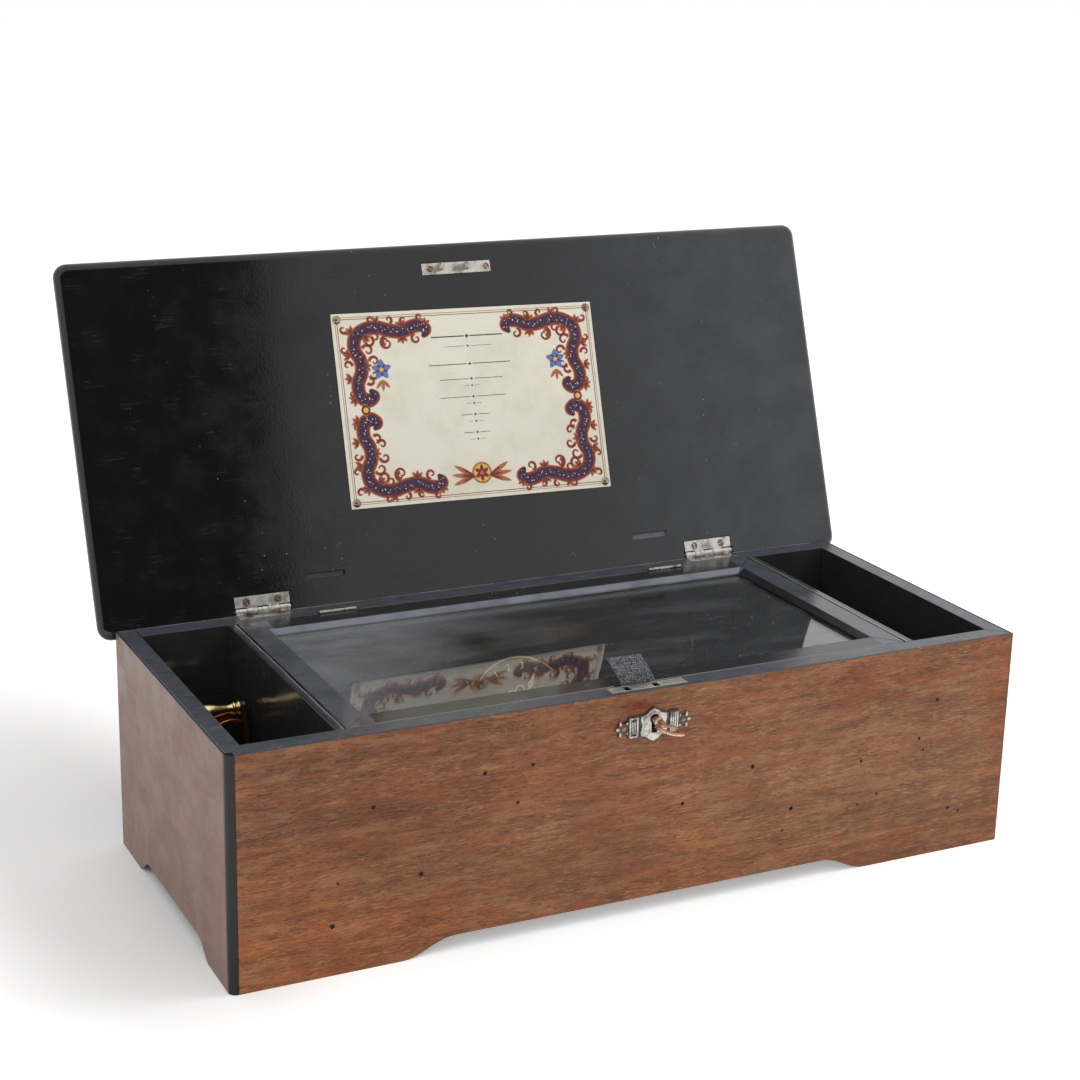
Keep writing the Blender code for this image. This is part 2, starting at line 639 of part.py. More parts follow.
def keeper(panel):
    """The plate on the lid's underside with two eyed hooks that drop into the lock."""
    half = LOCK_PLATE_WIDTH / 2
    thick = 1.2
    top = LID_LOW + thick
    plate = piece("keeper_plate", box((-LOCK_HALF, LOCK_Y - half, LID_LOW), (LOCK_HALF, LOCK_Y + half, top)),
                  NICKEL, "lid")
    hooks = []
    eyes = []
    for x in HOOKS_X:
        hooks.append(box((x - HOOK_THICK / 2, LOCK_Y - HOOK_WIDTH / 2, 138.0),
                         (x + HOOK_THICK / 2, LOCK_Y + HOOK_WIDTH / 2, LID_LOW + thick / 2)))
        eyes.append(box((x - 5, LOCK_Y - 1.4, 138.9), (x + 5, LOCK_Y + 1.4, 142.1)))
    combine(plate, joined(*hooks), "UNION")
    cut(plate, joined(*eyes))
    for x in (-21.8, -4.2, 20.8):
        cut(plate, screw_marks("z", (x, LOCK_Y), LID_LOW, -1, 2.0))
    cut(panel, box((-LOCK_HALF - GAP, LOCK_Y - half - GAP, LID_LOW - 5),
                   (LOCK_HALF + GAP, LOCK_Y + half + GAP, top + GAP)))


def tune_card():
    """The card under the lid, in one with the domed tacks that hold its corners."""
    high = LID_LOW - GAP
    low = high - CARD_THICK
    centre = (0.0, CARD_Y, 0.0)
    x = CARD_WIDTH / 2
    y = CARD_HEIGHT / 2
    sheet = box((-x, CARD_Y - y, low), (x, CARD_Y + y, high))
    card = piece("tune_card", rotated(sheet, "z", CARD_TURN, centre), CARD, "lid")
    tacks = []
    face = low
    profile = [(0.0, face + 0.3), (TACK_RADIUS, face + 0.3), (TACK_RADIUS, face), (TACK_RADIUS * 0.85, face - 0.8), (TACK_RADIUS * 0.5, face - 1.3),
               (0.0, face - 1.5)]
    for sx in (-1, 1):
        for sy in (-1, 1):
            spot = (sx * (x - TACK_INSET), CARD_Y + sy * (y - TACK_INSET))
            tacks.append(rotated(turned(profile, "z", spot, 10), "z", CARD_TURN, centre))
    combine(card, joined(*tacks), "UNION")


def frame_rail(length, across):
    """A mitred rail of the glass lid; across is how far the section's points lie from its outer edge."""
    low = CASE_HEIGHT - GLASS_RAIL
    lip = CASE_HEIGHT - GLASS_DEPTH
    inner = GLASS_FLAT + GLASS_SLOPE
    section = [(0.0, low), (REBATE_WIDTH, low), (REBATE_WIDTH, lip), (inner, lip), (inner, lip + 1.1),
               (GLASS_FLAT, CASE_HEIGHT), (0.0, CASE_HEIGHT)]
    half = length / 2 - 0.2
    ends = [[across(u, -(half - u), z) for u, z in section], [across(u, half - u, z) for u, z in section]]
    count = len(section)
    verts = ends[0] + ends[1]
    faces = [tuple(range(count)), tuple(range(count, 2 * count))]
    faces += [(i, (i + 1) % count, count + (i + 1) % count, count + i) for i in range(count)]
    return verts, faces


def glass_lid():
    """The inner lid: four mitred rails, the pane, the bead under it, and the leather pull tab."""
    width = 2 * FRAME_X
    depth = FRAME_BACK - FRAME_FRONT
    middle = (FRAME_BACK + FRAME_FRONT) / 2
    front = piece("frame_front_rail", frame_rail(width, lambda u, t, z: (t, FRAME_FRONT + u, z)), LACQUER, "glass_lid")
    back = piece("frame_back_rail", frame_rail(width, lambda u, t, z: (t, FRAME_BACK - u, z)), LACQUER, "glass_lid")
    piece("frame_left_rail", frame_rail(depth, lambda u, t, z: (-FRAME_X + u, middle + t, z)), LACQUER, "glass_lid")
    piece("frame_right_rail", frame_rail(depth, lambda u, t, z: (FRAME_X - u, middle + t, z)), LACQUER, "glass_lid")
    inset = REBATE_WIDTH + GAP
    low = (-FRAME_X + inset, FRAME_FRONT + inset, GLASS_TOP - PANE_THICK)
    high = (FRAME_X - inset, FRAME_BACK - inset, GLASS_TOP)
    piece("glass_pane", box(low, high), GLASS, "glass_lid")
    z_high = low[2] - GAP
    z_low = CASE_HEIGHT - GLASS_RAIL + GAP
    bead = 3.0
    made = piece("glass_bead", box((low[0], low[1], z_low), (high[0], high[1], z_high)), LACQUER, "glass_lid")
    cut(made, box((low[0] + bead, low[1] + bead, z_low - 5), (high[0] - bead, high[1] - bead, z_high + 5)))
    pull_tab(front)
    return back


def pull_tab(rail):
    """A leather tab let into the front rail; it stands up, leaning to the left and to the back."""
    thick = 1.6
    half = 12.0
    centre = -7.0
    root = CASE_HEIGHT - 7.0
    y = FRAME_FRONT + 1.3
    stations = ((root, 0.0, 0.0), (CASE_HEIGHT + 0.6, 0.0, 0.0), (CASE_HEIGHT + 6.0, -2.2, 1.3),
                (CASE_HEIGHT + 12.0, -4.9, 3.4), (CASE_HEIGHT + 17.5, -7.4, 6.2))
    verts = []
    for z, side, back in stations:
        verts += [(centre - half + side, y + back - thick / 2, z), (centre + half + side, y + back - thick / 2, z),
                  (centre + half + side, y + back + thick / 2, z), (centre - half + side, y + back + thick / 2, z)]
    last = len(stations) - 1
    faces = [(0, 1, 2, 3), tuple(4 * last + i for i in range(4))]
    for level in range(last):
        for i in range(4):
            j = (i + 1) % 4
            faces.append((4 * level + i, 4 * level + j, 4 * level + 4 + j, 4 * level + 4 + i))
    piece("pull_tab", (verts, faces), LEATHER, "glass_lid")
    cut(rail, box((centre - half - GAP, FRAME_FRONT - 5, root - GAP),
                  (centre + half + GAP, y + thick / 2 + GAP, CASE_HEIGHT + 5)))


START_PIVOT = (86.0, 62.0)
CHANGE_PIVOT = (-22.0, 38.0)
CONTROL_ROD = 2.5
BRIDGE_X = ((-103.0, -98.0), (108.0, 113.0))
BARREL_X = (-174.0, -112.5)
BRACKET_X = (-184.0, -178.0)
RATCHET_X = (-190.0, -186.5)
POST_X = (136.0, 140.0)
BORE_PLAY = 0.5


def bedplate():
    """The cast bed on four bosses, with the heads of the screws that hold it."""
    bed = piece("bedplate", box((-188.0, -78.0, BED_LOW), (180.0, 92.0, BED_TOP)), BRASS)
    spots = [(x, y) for x in (-178.0, 170.0) for y in (-68.0, 82.0)]
    bosses = [rod("z", spot, 7.0, FLOOR_TOP + GAP, BED_TOP - 1.0, 12) for spot in spots]
    combine(bed, joined(*bosses), "UNION")
    combine(bed, joined(*(rod("z", spot, 4.0, BED_TOP - 0.5, BED_TOP + 2.5, 10) for spot in spots)), "UNION")


def plate_with_bores(x_span, outline, bores):
    """An upright plate seen along X, and the holes through it."""
    shape = prism(outline, "x", *x_span)
    holes = [rod("x", centre, radius, x_span[0] - 2, x_span[1] + 2, 14) for centre, radius in bores]
    return shape, holes


def bridges():
    """The upright bearing plates of the barrel, the cylinder and the governor."""
    foot = BED_TOP + GAP
    barrel = (BARREL_Y, BARREL_Z)
    cylinder = (CYL_Y, CYL_Z)
    outer = [(16.0, foot), (60.0, foot), (54.0, 68.0), (33.0, 68.0), (17.0, 54.0)]
    shape, holes = plate_with_bores(BRACKET_X, outer, [(barrel, SHAFT + BORE_PLAY)])
    bracket = piece("barrel_bracket", shape, BRASS)
    cut(bracket, *holes)
    combine(bracket, rod("x", CLICK_PIVOT, CLICK_STUD, RATCHET_X[0] - 1.0, BRACKET_X[0] + 1.0, 10), "UNION")
    wide = [(2.0, foot), (58.0, foot), (54.0, 68.0), (6.0, 72.0)]
    left, left_holes = plate_with_bores(BRIDGE_X[0], wide, [(barrel, SHAFT + BORE_PLAY), (cylinder, 4.0 + BORE_PLAY)])
    right, right_holes = plate_with_bores(BRIDGE_X[1], wide, [(barrel, 2.0 + BORE_PLAY), (cylinder, 4.0 + BORE_PLAY)])
    cut(piece("left_bridge", left, BRASS), *left_holes)
    cut(piece("right_bridge", right, BRASS), *right_holes)
    post = [(34.0, foot), (92.0, foot), (92.0, 68.0), (82.0, 68.0), (56.0, 66.0), (38.0, 66.0)]
    base = box((117.0, 52.0, foot), (POST_X[0] + 1.0, 80.0, foot + 4.0))
    column = box((124.0, 74.0, foot + 2.0), (134.0, 79.0, 72.0))
    arm = box((124.0, 55.0, 68.5), (134.0, 76.0, 72.0))
    shape, holes = plate_with_bores(POST_X, post, [(barrel, 2.0 + BORE_PLAY), (START_PIVOT, CONTROL_ROD + BORE_PLAY)])
    frame = piece("governor_frame", shape, BRASS)
    for part in (base, column, arm):
        combine(frame, part, "UNION")
    cut(frame, joined(*holes), rod("z", (WORM_X, WORM_Y), 1.6 + BORE_PLAY, 66.0, 75.0, 12))


WORM_X = (WORM_WHEEL_X[0] + WORM_WHEEL_X[1]) / 2
COMB_TIP = CYL_Y - CYLINDER_RADIUS - COMB_GAP
COMB_LOW = CYL_Z - 1.2
COMB_TOP = CYL_Z + 1.2


def barrel():
    """The spring barrel with its toothed end, the spring inside, and the winding arbor through it."""
    centre = (BARREL_Y, BARREL_Z)
    left, right = BARREL_X
    wall = 2.0
    bore = SHAFT + BORE_PLAY
    section = [(bore, left), (BARREL_RADIUS, left), (BARREL_RADIUS, right), (BARREL_RADIUS - wall, right),
               (BARREL_RADIUS - wall, left + wall), (bore, left + wall)]
    piece("spring_barrel", turned(section, "x", centre, 32, ring=True), BRASS, "barrel", smooth=True)
    spring = tube("x", centre, 7.0, BARREL_RADIUS - wall - GAP, left + wall + GAP, right - GAP, 24)
    piece("mainspring", spring, STEEL, "barrel", smooth=True)
    outline = wheel_outline(WHEEL_TEETH, MODULE, centre, math.pi - MESH_ANGLE)
    wheel = piece("great_wheel", prism(outline, "x", *WHEEL_X), BRASS, "barrel")
    cut(wheel, rod("x", centre, bore, WHEEL_X[0] - 2, WHEEL_X[1] + 2, 16))
    nut = -209.6
    profile = [(0.0, nut - 3.0), (5.0, nut - 3.0), (5.0, nut), (SHAFT, nut), (SHAFT, BRIDGE_X[0][1] + 0.5),
               (0.0, BRIDGE_X[0][1] + 0.5)]
    arbor = piece("winding_arbor", turned(profile, "x", centre, 16), STEEL, "winding", smooth=True)
    teeth = 16
    points = []
    for i in range(teeth):
        for share, radius in ((0.0, 12.0), (0.12, 9.6)):
            angle = 2 * math.pi * (i + share) / teeth
            points.append((centre[0] + radius * math.cos(angle), centre[1] + radius * math.sin(angle)))
    combine(arbor, prism(points, "x", *RATCHET_X), "UNION")


CLICK_ANGLE = math.radians(150.0)
CLICK_INNER = 12.4
CLICK_BACK = 16.0
CLICK_STUD = 1.2


def click_point(along, out):
    """A point beside the ratchet: along the tangent at the nose, and out from the arbor."""
    radial = (math.cos(CLICK_ANGLE), math.sin(CLICK_ANGLE))
    tangent = (-radial[1], radial[0])
    return tuple(c + out * r - along * t for c, r, t in zip((BARREL_Y, BARREL_Z), radial, tangent))


CLICK_PIVOT = click_point(-CLICK_BACK, CLICK_INNER + 2.0)


def click():
    """The pawl that rides on the ratchet's teeth, pivoted below its nose."""
    bar = [click_point(1.2, CLICK_INNER + 1.2), click_point(0.0, CLICK_INNER), click_point(-3.0, CLICK_INNER + 0.8),
           click_point(-CLICK_BACK - 3.0, CLICK_INNER), click_point(-CLICK_BACK - 3.0, CLICK_INNER + 4.0),
           click_point(0.0, CLICK_INNER + 4.0)]
    made = piece("ratchet_click", prism(bar, "x", *RATCHET_X), STEEL, "click")
    cut(made, rod("x", CLICK_PIVOT, CLICK_STUD + 0.35, RATCHET_X[0] - 2, RATCHET_X[1] + 2, 12))


GRIP_Y = 54.6
GRIP_Z = 107.5


def winding_lever():
    """The lever in the left compartment: a flat arm, a turned grip, and a curved strap under the grip."""
    centre = (BARREL_Y, BARREL_Z)
    span = (-206.6, -203.6)
    reach = math.atan2(GRIP_Z - BARREL_Z, GRIP_Y - BARREL_Y)
    side = math.degrees(reach) - 90
    lower = arc(centre, 8.5, side + 210, side + 330, 8)
    upper = arc((GRIP_Y, GRIP_Z), 4.2, side + 20, side + 160, 6)
    arm = piece("winding_lever", prism(lower + upper, "x", *span), NICKEL, "winding")
    cut(arm, rod("x", centre, SHAFT + GAP, span[0] - 2, span[1] + 2, 16))
    profile = [(0.0, -206.9), (4.4, -206.9), (4.6, -208.6), (3.6, -209.2), (4.3, -210.4), (4.3, -211.6), (3.3, -212.6),
               (3.0, -215.5), (3.6, -220.0), (4.8, -226.0), (5.2, -231.0), (4.6, -236.0), (3.2, -239.5), (3.9, -240.6),
               (3.9, -242.2), (0.0, -243.4)]
    piece("lever_grip", turned(profile, "x", (GRIP_Y, GRIP_Z), 16), BRASS, "winding", smooth=True)
    path = [(-206.9, 99.5), (-210.5, 100.6), (-214.5, 101.0), (-219.0, 100.4), (-223.5, 98.8), (-228.0, 96.2)]
    outline = [(x, z + 1.2) for x, z in path] + [(x, z - 1.2) for x, z in reversed(path)]
    piece("lever_strap", prism(outline, "y", GRIP_Y - 5.0, GRIP_Y + 1.0), COPPER, "winding")


def cylinder():
    """The cylinder on its arbor, its pinion on the left, and its wheel with the star for the tunes on the right."""
    centre = (CYL_Y, CYL_Z)
    shaft = 4.0
    bore = shaft + BORE_PLAY
    piece("cylinder", tube("x", centre, bore, CYLINDER_RADIUS, CYLINDER_LEFT, CYLINDER_RIGHT, 48), BRASS,
          "cylinder", smooth=True)
    pinion = wheel_outline(PINION_TEETH, MODULE, centre, -MESH_ANGLE + math.pi / PINION_TEETH)
    arbor = piece("cylinder_arbor", rod("x", centre, shaft, WHEEL_X[0] - 1.5, BRIDGE_X[1][1] + 1.5, 16), STEEL,
                  "cylinder_arbor", smooth=True)
    combine(arbor, prism(pinion, "x", *WHEEL_X), "UNION")
    outline = wheel_outline(WHEEL_TEETH, MODULE, centre, -MESH_ANGLE)
    wheel = piece("cylinder_wheel", prism(outline, "x", *TAIL_WHEEL_X), BRASS, "cylinder_arbor")
    cut(wheel, rod("x", centre, shaft + GAP, TAIL_WHEEL_X[0] - 2, TAIL_WHEEL_X[1] + 2, 16))
    star = [(CYL_Y + 13.0 + r * math.cos(a), CYL_Z + r * math.sin(a))
            for i in range(8) for r, a in ((6.5, math.pi * i / 4), (4.2, math.pi * (i + 0.5) / 4))]
    combine(wheel, prism(star, "x", CYLINDER_RIGHT + 0.7, TAIL_WHEEL_X[0] + 0.5), "UNION")


def comb():
    """The steel comb on its base: its teeth get longer towards the bass end on the left."""
    left = -86.0
    pitch = (CYLINDER_RIGHT - 2.0 - left) / COMB_TEETH
    right = left + pitch * COMB_TEETH
    points = [(left, COMB_TIP - 55.0), (right, COMB_TIP - 55.0)]
    for i in reversed(range(COMB_TEETH)):
        root = COMB_TIP - 38.0 + 20.0 * i / COMB_TEETH
        x = left + i * pitch
        points += [(x + pitch - 0.25, root), (x + pitch - 0.45, COMB_TIP), (x + 0.45, COMB_TIP), (x + 0.25, root)]
    made = piece("comb", prism(points, "z", COMB_LOW, COMB_TOP), STEEL)
    heads = [rod("z", (x, COMB_TIP - 47.0), 3.2, COMB_TOP - 0.5, COMB_TOP + 2.0, 10) for x in (-76, -36, 4, 44, 84)]
    combine(made, joined(*heads), "UNION")
    low = (left - 1.0, COMB_TIP - 56.0, BED_TOP + GAP)
    piece("comb_base", box(low, (right + 0.5, COMB_TIP - 39.5, COMB_LOW - GAP)), BRASS)


def governor():
    """The wheel that drives the endless screw, and the screw with its two-bladed fly."""
    centre = (BARREL_Y, BARREL_Z)
    shaft = 2.0
    arbor = piece("governor_wheel", rod("x", centre, shaft, TAIL_WHEEL_X[0] - 1, POST_X[1] + 1, 12), BRASS, "governor")
    pinion = wheel_outline(PINION_TEETH, MODULE, centre, math.pi - MESH_ANGLE + math.pi / PINION_TEETH)
    combine(arbor, prism(pinion, "x", *TAIL_WHEEL_X), "UNION")
    worm_wheel = wheel_outline(WORM_WHEEL_TEETH, WORM_MODULE, centre, math.pi / WORM_WHEEL_TEETH, 0.55, 1.2)
    combine(arbor, prism(worm_wheel, "x", *WORM_WHEEL_X), "UNION")
    spot = (WORM_X, WORM_Y)
    profile = [(0.0, BED_TOP + 5.0), (1.6, BED_TOP + 5.0), (1.6, 46.0), (WORM_CORE, 47.0), (WORM_CORE, 65.0), (1.6, 66.0),
               (1.6, 74.0), (4.0, 74.0), (4.0, 82.0), (1.6, 82.0), (1.6, 104.0), (0.0, 104.0)]
    screw = piece("fly_screw", turned(profile, "z", spot, 12), STEEL, "fly", smooth=True)
    combine(screw, worm_thread(spot), "UNION")
    blade = 11.5
    combine(screw, box((spot[0] - blade, spot[1] - 0.5, 86.0), (spot[0] + blade, spot[1] + 0.5, 102.0)), "UNION")


def worm_thread(spot):
    """One ridge wound round the worm's core; three and a half turns set it in step with the wheel."""
    turns = 3.5
    steps = 42
    base = 0.75
    crest = 0.3
    verts = []
    for i in range(steps + 1):
        angle = 2 * math.pi * turns * i / steps
        z = BARREL_Z + WORM_PITCH * (turns * i / steps - turns / 2)
        for radius, offset in ((WORM_CORE - 0.4, -base), (WORM_RADIUS, -crest), (WORM_RADIUS, crest), (WORM_CORE - 0.4, base)):
            verts.append((spot[0] + radius * math.cos(angle), spot[1] + radius * math.sin(angle), z + offset))
    faces = [(0, 1, 2, 3), tuple(4 * steps + i for i in range(4))]
    for i in range(steps):
        for j in range(4):
            k = (j + 1) % 4
            faces.append((4 * i + j, 4 * i + k, 4 * i + 4 + k, 4 * i + 4 + j))
    return verts, faces


HANDLE_X = (203.0, 206.0)
HANDLE_LENGTH = 44.0


def control(name, pivot, rod_from, finger):
    """A control lever: a rod through the partition, a handle with a ball, and a finger in the movement."""
    made = piece(name, rod("x", pivot, CONTROL_ROD, rod_from, HANDLE_X[1] + 1.0, 12), NICKEL, name, smooth=True)
    y, z = pivot
    combine(made, box((HANDLE_X[0], y - 3.0, z - 4.0), (HANDLE_X[1], y + 3.0, z + HANDLE_LENGTH - 2.0)), "UNION")
    middle = (HANDLE_X[0] + HANDLE_X[1]) / 2
    top = z + HANDLE_LENGTH
    ball = [(0.0, top - 4.0), (2.8, top - 2.8), (4.0, top), (2.8, top + 2.8), (0.0, top + 4.0)]
    combine(made, turned(ball, "z", (middle, y), 12), "UNION")
    combine(made, finger, "UNION")


def controls():
    """The start lever brakes the fly's collar, and the change lever's finger reaches for the star."""
    y, z = START_PIVOT
    hook = [(y - 1.6, z), (y + 1.6, z), (y + 1.6, z + 21.5), (y - 13.6, z + 21.5), (y - 13.6, z + 17.5),
            (y - 1.6, z + 17.5)]
    control("start_lever", START_PIVOT, WORM_WHEEL_X[0] - 1.5, prism(hook, "x", WORM_X - 2.0, WORM_X + 2.0))
    y, z = CHANGE_PIVOT
    to_axis = math.atan2(CYL_Z - z, CYL_Y - y)
    away = to_axis - math.radians(22.0)
    reach = math.hypot(CYL_Z - z, CYL_Y - y) - 21.2
    side = (-math.sin(away) * 1.6, math.cos(away) * 1.6)
    tip = (y + reach * math.cos(away), z + reach * math.sin(away))
    finger = [(y - side[0], z - side[1]), (tip[0] - side[0], tip[1] - side[1]), (tip[0] + side[0], tip[1] + side[1]),
              (y + side[0], z + side[1])]
    finger = prism(finger, "x", CYLINDER_RIGHT + 1.0, TAIL_WHEEL_X[0] - 1.2)
    control("change_lever", CHANGE_PIVOT, CYLINDER_RIGHT + 0.7, finger)


def dial_point(u, v, out):
    """A point on the leaning dial: u to the right, v up it, out towards the front."""
    y = DIAL_Y + v * math.sin(DIAL_LEAN) - out * math.cos(DIAL_LEAN)
    z = DIAL_Z + v * math.cos(DIAL_LEAN) + out * math.sin(DIAL_LEAN)
    return (DIAL_X + u, y, z)


def dial_slab(outline, out_low, out_high):
    """A flat outline on the dial's plane, given thickness."""
    count = len(outline)
    verts = [dial_point(u, v, out_low) for u, v in outline] + [dial_point(u, v, out_high) for u, v in outline]
    faces = [tuple(range(count)), tuple(range(count, 2 * count))]
    faces += [(i, (i + 1) % count, count + (i + 1) % count, count + i) for i in range(count)]
    return verts, faces


def tune_dial():
    """The fan-shaped tune dial, its post behind the cylinder, and the pointer in front of it."""
    half = math.degrees(DIAL_HALF)
    edge = arc((0.0, 0.0), DIAL_RADIUS, 90 + half, 90 - half, 16)
    base = DIAL_BASE * math.tan(DIAL_HALF)
    outline = edge + [(base, DIAL_BASE), (3.5, DIAL_BASE - 3), (3.5, -2.0), (-3.5, -2.0), (-3.5, DIAL_BASE - 3),
                      (-base, DIAL_BASE)]
    piece("tune_dial", dial_slab(outline, -DIAL_THICK, 0.0), OLIVE)
    post = [(42.0, BED_TOP + GAP), (46.5, BED_TOP + GAP), (46.5, 103.0), (29.6, 103.0), (28.4, 99.5), (42.0, 99.5)]
    piece("dial_post", prism(post, "x", DIAL_X - 3.0, DIAL_X + 3.0), BRASS)
    hand = [(-1.5, 1.0), (-1.3, 10.0), (-3.0, 13.0), (-1.0, 17.0), (-0.5, 24.0), (0.0, 27.0), (0.5, 24.0), (1.0, 17.0),
            (3.0, 13.0), (1.3, 10.0), (1.5, 1.0)]
    outline = hand + [(2.4, -1.8), (-2.4, -1.8)]
    cosine = math.cos(POINTER_REST)
    sine = math.sin(POINTER_REST)
    points = [(u * cosine + v * sine, v * cosine - u * sine) for u, v in outline]
    piece("tune_pointer", dial_slab(points, 0.6, 1.4), BRASS, "pointer")


body("case", (0.0, 0.0, 0.0))
bodies["case"][0].location = (0.0, CASE_Y * MM, 0.0)
body("lid", (0.0, HINGE_Y, HINGE_Z), "case", (-LID_OPEN, 0.0, 0.0))
body("glass_lid", (0.0, SMALL_HINGE_Y, SMALL_HINGE_Z), "case")
body("key", (0.0, 0.0, KEY_Z), "case", (0.0, KEY_TURNED, 0.0))
body("bolt", (0.0, LOCK_Y, KEY_Z), "case")
body("winding", (0.0, BARREL_Y, BARREL_Z), "case")
body("barrel", (0.0, BARREL_Y, BARREL_Z), "case")
body("click", (0.0, *CLICK_PIVOT), "case")
body("cylinder_arbor", (0.0, CYL_Y, CYL_Z), "case")
body("cylinder", (0.0, CYL_Y, CYL_Z), "cylinder_arbor")
body("governor", (0.0, BARREL_Y, BARREL_Z), "case")
body("fly", (WORM_X, WORM_Y, 0.0), "case")
body("start_lever", (0.0, *START_PIVOT), "case")
body("change_lever", (0.0, *CHANGE_PIVOT), "case")
body("pointer", dial_point(0.0, 0.0, 1.0), "case")

case_front, case_back, front_walnut = case_boards()
partitions()
lock(case_front, front_walnut)
bolt()
key()
escutcheon()
panel = lid_panel()
keeper(panel)
tune_card()
back_rail = glass_lid()
for side, way in (("left", -1), ("right", 1)):
    butt_hinge(side, way * HINGE_X, case_back, panel)
    glass_hinge(side, way * SMALL_HINGE_X, case_back, back_rail, panel)
bedplate()
bridges()
barrel()
click()
winding_lever()
cylinder()
comb()
governor()
controls()
tune_dial()
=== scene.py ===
"""The looks of the music box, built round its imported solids.

New shapes are worked out in millimetres in the case's own frame: X right along the front, Y to
the back, Z up, origin at the middle of the case's base, with the lid shut and the key upright.
at_rest() then turns the lid's and the key's pieces to where they rest and sets them in the row
frame, in metres. Materials read the same millimetres, so that a grain or a worn edge lies where
the real one does.
"""
import json
import math

import bmesh
import bpy
import numpy as np
from mathutils import Matrix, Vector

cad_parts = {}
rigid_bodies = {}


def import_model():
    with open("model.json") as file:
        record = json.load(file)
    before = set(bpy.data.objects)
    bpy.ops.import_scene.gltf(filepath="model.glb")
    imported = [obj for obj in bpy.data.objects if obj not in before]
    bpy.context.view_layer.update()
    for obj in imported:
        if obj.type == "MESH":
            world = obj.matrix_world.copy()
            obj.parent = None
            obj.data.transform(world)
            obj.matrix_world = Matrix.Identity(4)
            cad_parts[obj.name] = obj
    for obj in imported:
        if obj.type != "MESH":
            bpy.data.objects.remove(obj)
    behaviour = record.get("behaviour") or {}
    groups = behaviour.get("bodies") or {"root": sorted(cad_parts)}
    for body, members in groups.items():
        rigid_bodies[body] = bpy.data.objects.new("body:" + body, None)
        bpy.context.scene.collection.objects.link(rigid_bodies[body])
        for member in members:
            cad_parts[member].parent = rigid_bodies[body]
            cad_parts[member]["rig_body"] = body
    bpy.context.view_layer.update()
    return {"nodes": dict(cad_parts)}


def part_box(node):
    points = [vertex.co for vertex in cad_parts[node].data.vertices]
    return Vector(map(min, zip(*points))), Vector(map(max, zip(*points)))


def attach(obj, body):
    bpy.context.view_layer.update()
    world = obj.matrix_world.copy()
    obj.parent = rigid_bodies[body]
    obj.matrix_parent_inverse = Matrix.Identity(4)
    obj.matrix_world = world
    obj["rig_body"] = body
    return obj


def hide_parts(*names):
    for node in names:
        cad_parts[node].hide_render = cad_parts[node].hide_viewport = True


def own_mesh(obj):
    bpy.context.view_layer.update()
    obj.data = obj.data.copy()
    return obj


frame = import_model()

MM = 0.001
CASE_WIDTH = 540.0
CASE_DEPTH = 225.0
CASE_HEIGHT = 148.0
HALF_W = CASE_WIDTH / 2
HALF_D = CASE_DEPTH / 2
SET_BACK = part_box("right_end_veneer")[1].y / MM - HALF_D

HINGE_X = 170.0
HINGE_Y = 115.0
HINGE_Z = 149.5
HINGE_LENGTH = 38.0
HINGE_SCREW_Y = 109.0
HINGE_SCREW_RADIUS = 2.65
LID_OPEN = math.radians(110.0)
LID_LOW = 148.3
KEY_Z = 130.0
LOCK_Y = -104.2
LOCK_X = 2.0
LOCK_HALF = 26.0
KEEPER_SCREWS_X = (-19.8, -2.2, 22.8)
KEEPER_SCREW_RADIUS = 2.3
TAB_X = -3.2
TAB_HALF = 11.9
TAB_THICK = 1.5
RAIL = 16.0
RAIL_SLOPE = 3.7
GLASS_HINGE_X = 124.0
GLASS_HINGE_Y = 97.2
GLASS_HINGE_HALF = 16.0
KEY_TURNED = math.radians(14.0)
BOW_Y = -134.5
PLATE_BACK = -HALF_D - 0.3
PLATE_Z = 126.0

CARD_WIDTH = 197.0
CARD_HEIGHT = 133.0
CARD_Y = -9.0
CARD_FACE = 147.4
CARD_THICK = 0.6
CARD_TURN = math.radians(1.0)

DIAL_X = -24.0
DIAL_Y = 21.7
DIAL_Z = 87.0
DIAL_LEAN = math.radians(20.0)
DIAL_RADIUS = 36.5
DIAL_HALF = math.radians(48.0)
DIAL_BASE = 8.0
TUNE_STEP = 19.0

CYLINDER_Y = 13.592
CYLINDER_Z = 60.175
CYLINDER_RADIUS = 24.0
CYLINDER_LEFT = -86.0
TEETH = 72
TOOTH_PITCH = 2.5
PINS = 1500
PIN_HEIGHT = 0.42
GRIP_Y = 54.6
GRIP_Z = 107.5

WORLD_LIGHT = 0.8
FLOOR_REACH = 8.0
FLOOR_LIFT = (0.0, 0.30)
SHADOW_SPOT = (-0.30, 0.10, 0.0)
SHADOW_REACH = (0.125, 0.42, 1.0)
rng = np.random.default_rng(11)


# Shapes

def turn_about(points, axis, angle, centre):
    """Turns points about a line along X, Y or Z, by the right-hand rule."""
    first, second = {"x": (1, 2), "y": (2, 0), "z": (0, 1)}[axis]
    made = np.array(points, float)
    a = made[..., first] - centre[first]
    b = made[..., second] - centre[second]
    made[..., first] = centre[first] + a * math.cos(angle) - b * math.sin(angle)
    made[..., second] = centre[second] + a * math.sin(angle) + b * math.cos(angle)
    return made


def at_rest(points, body):
    """Case millimetres, lid shut and key upright, to row metres with both where they rest."""
    made = np.array(points, float)
    if body == "lid":
        made = turn_about(made, "x", -LID_OPEN, (0.0, HINGE_Y, HINGE_Z))
    if body == "key":
        made = turn_about(made, "y", KEY_TURNED, (0.0, 0.0, KEY_Z))
    return (made + (0.0, SET_BACK, 0.0)) * MM


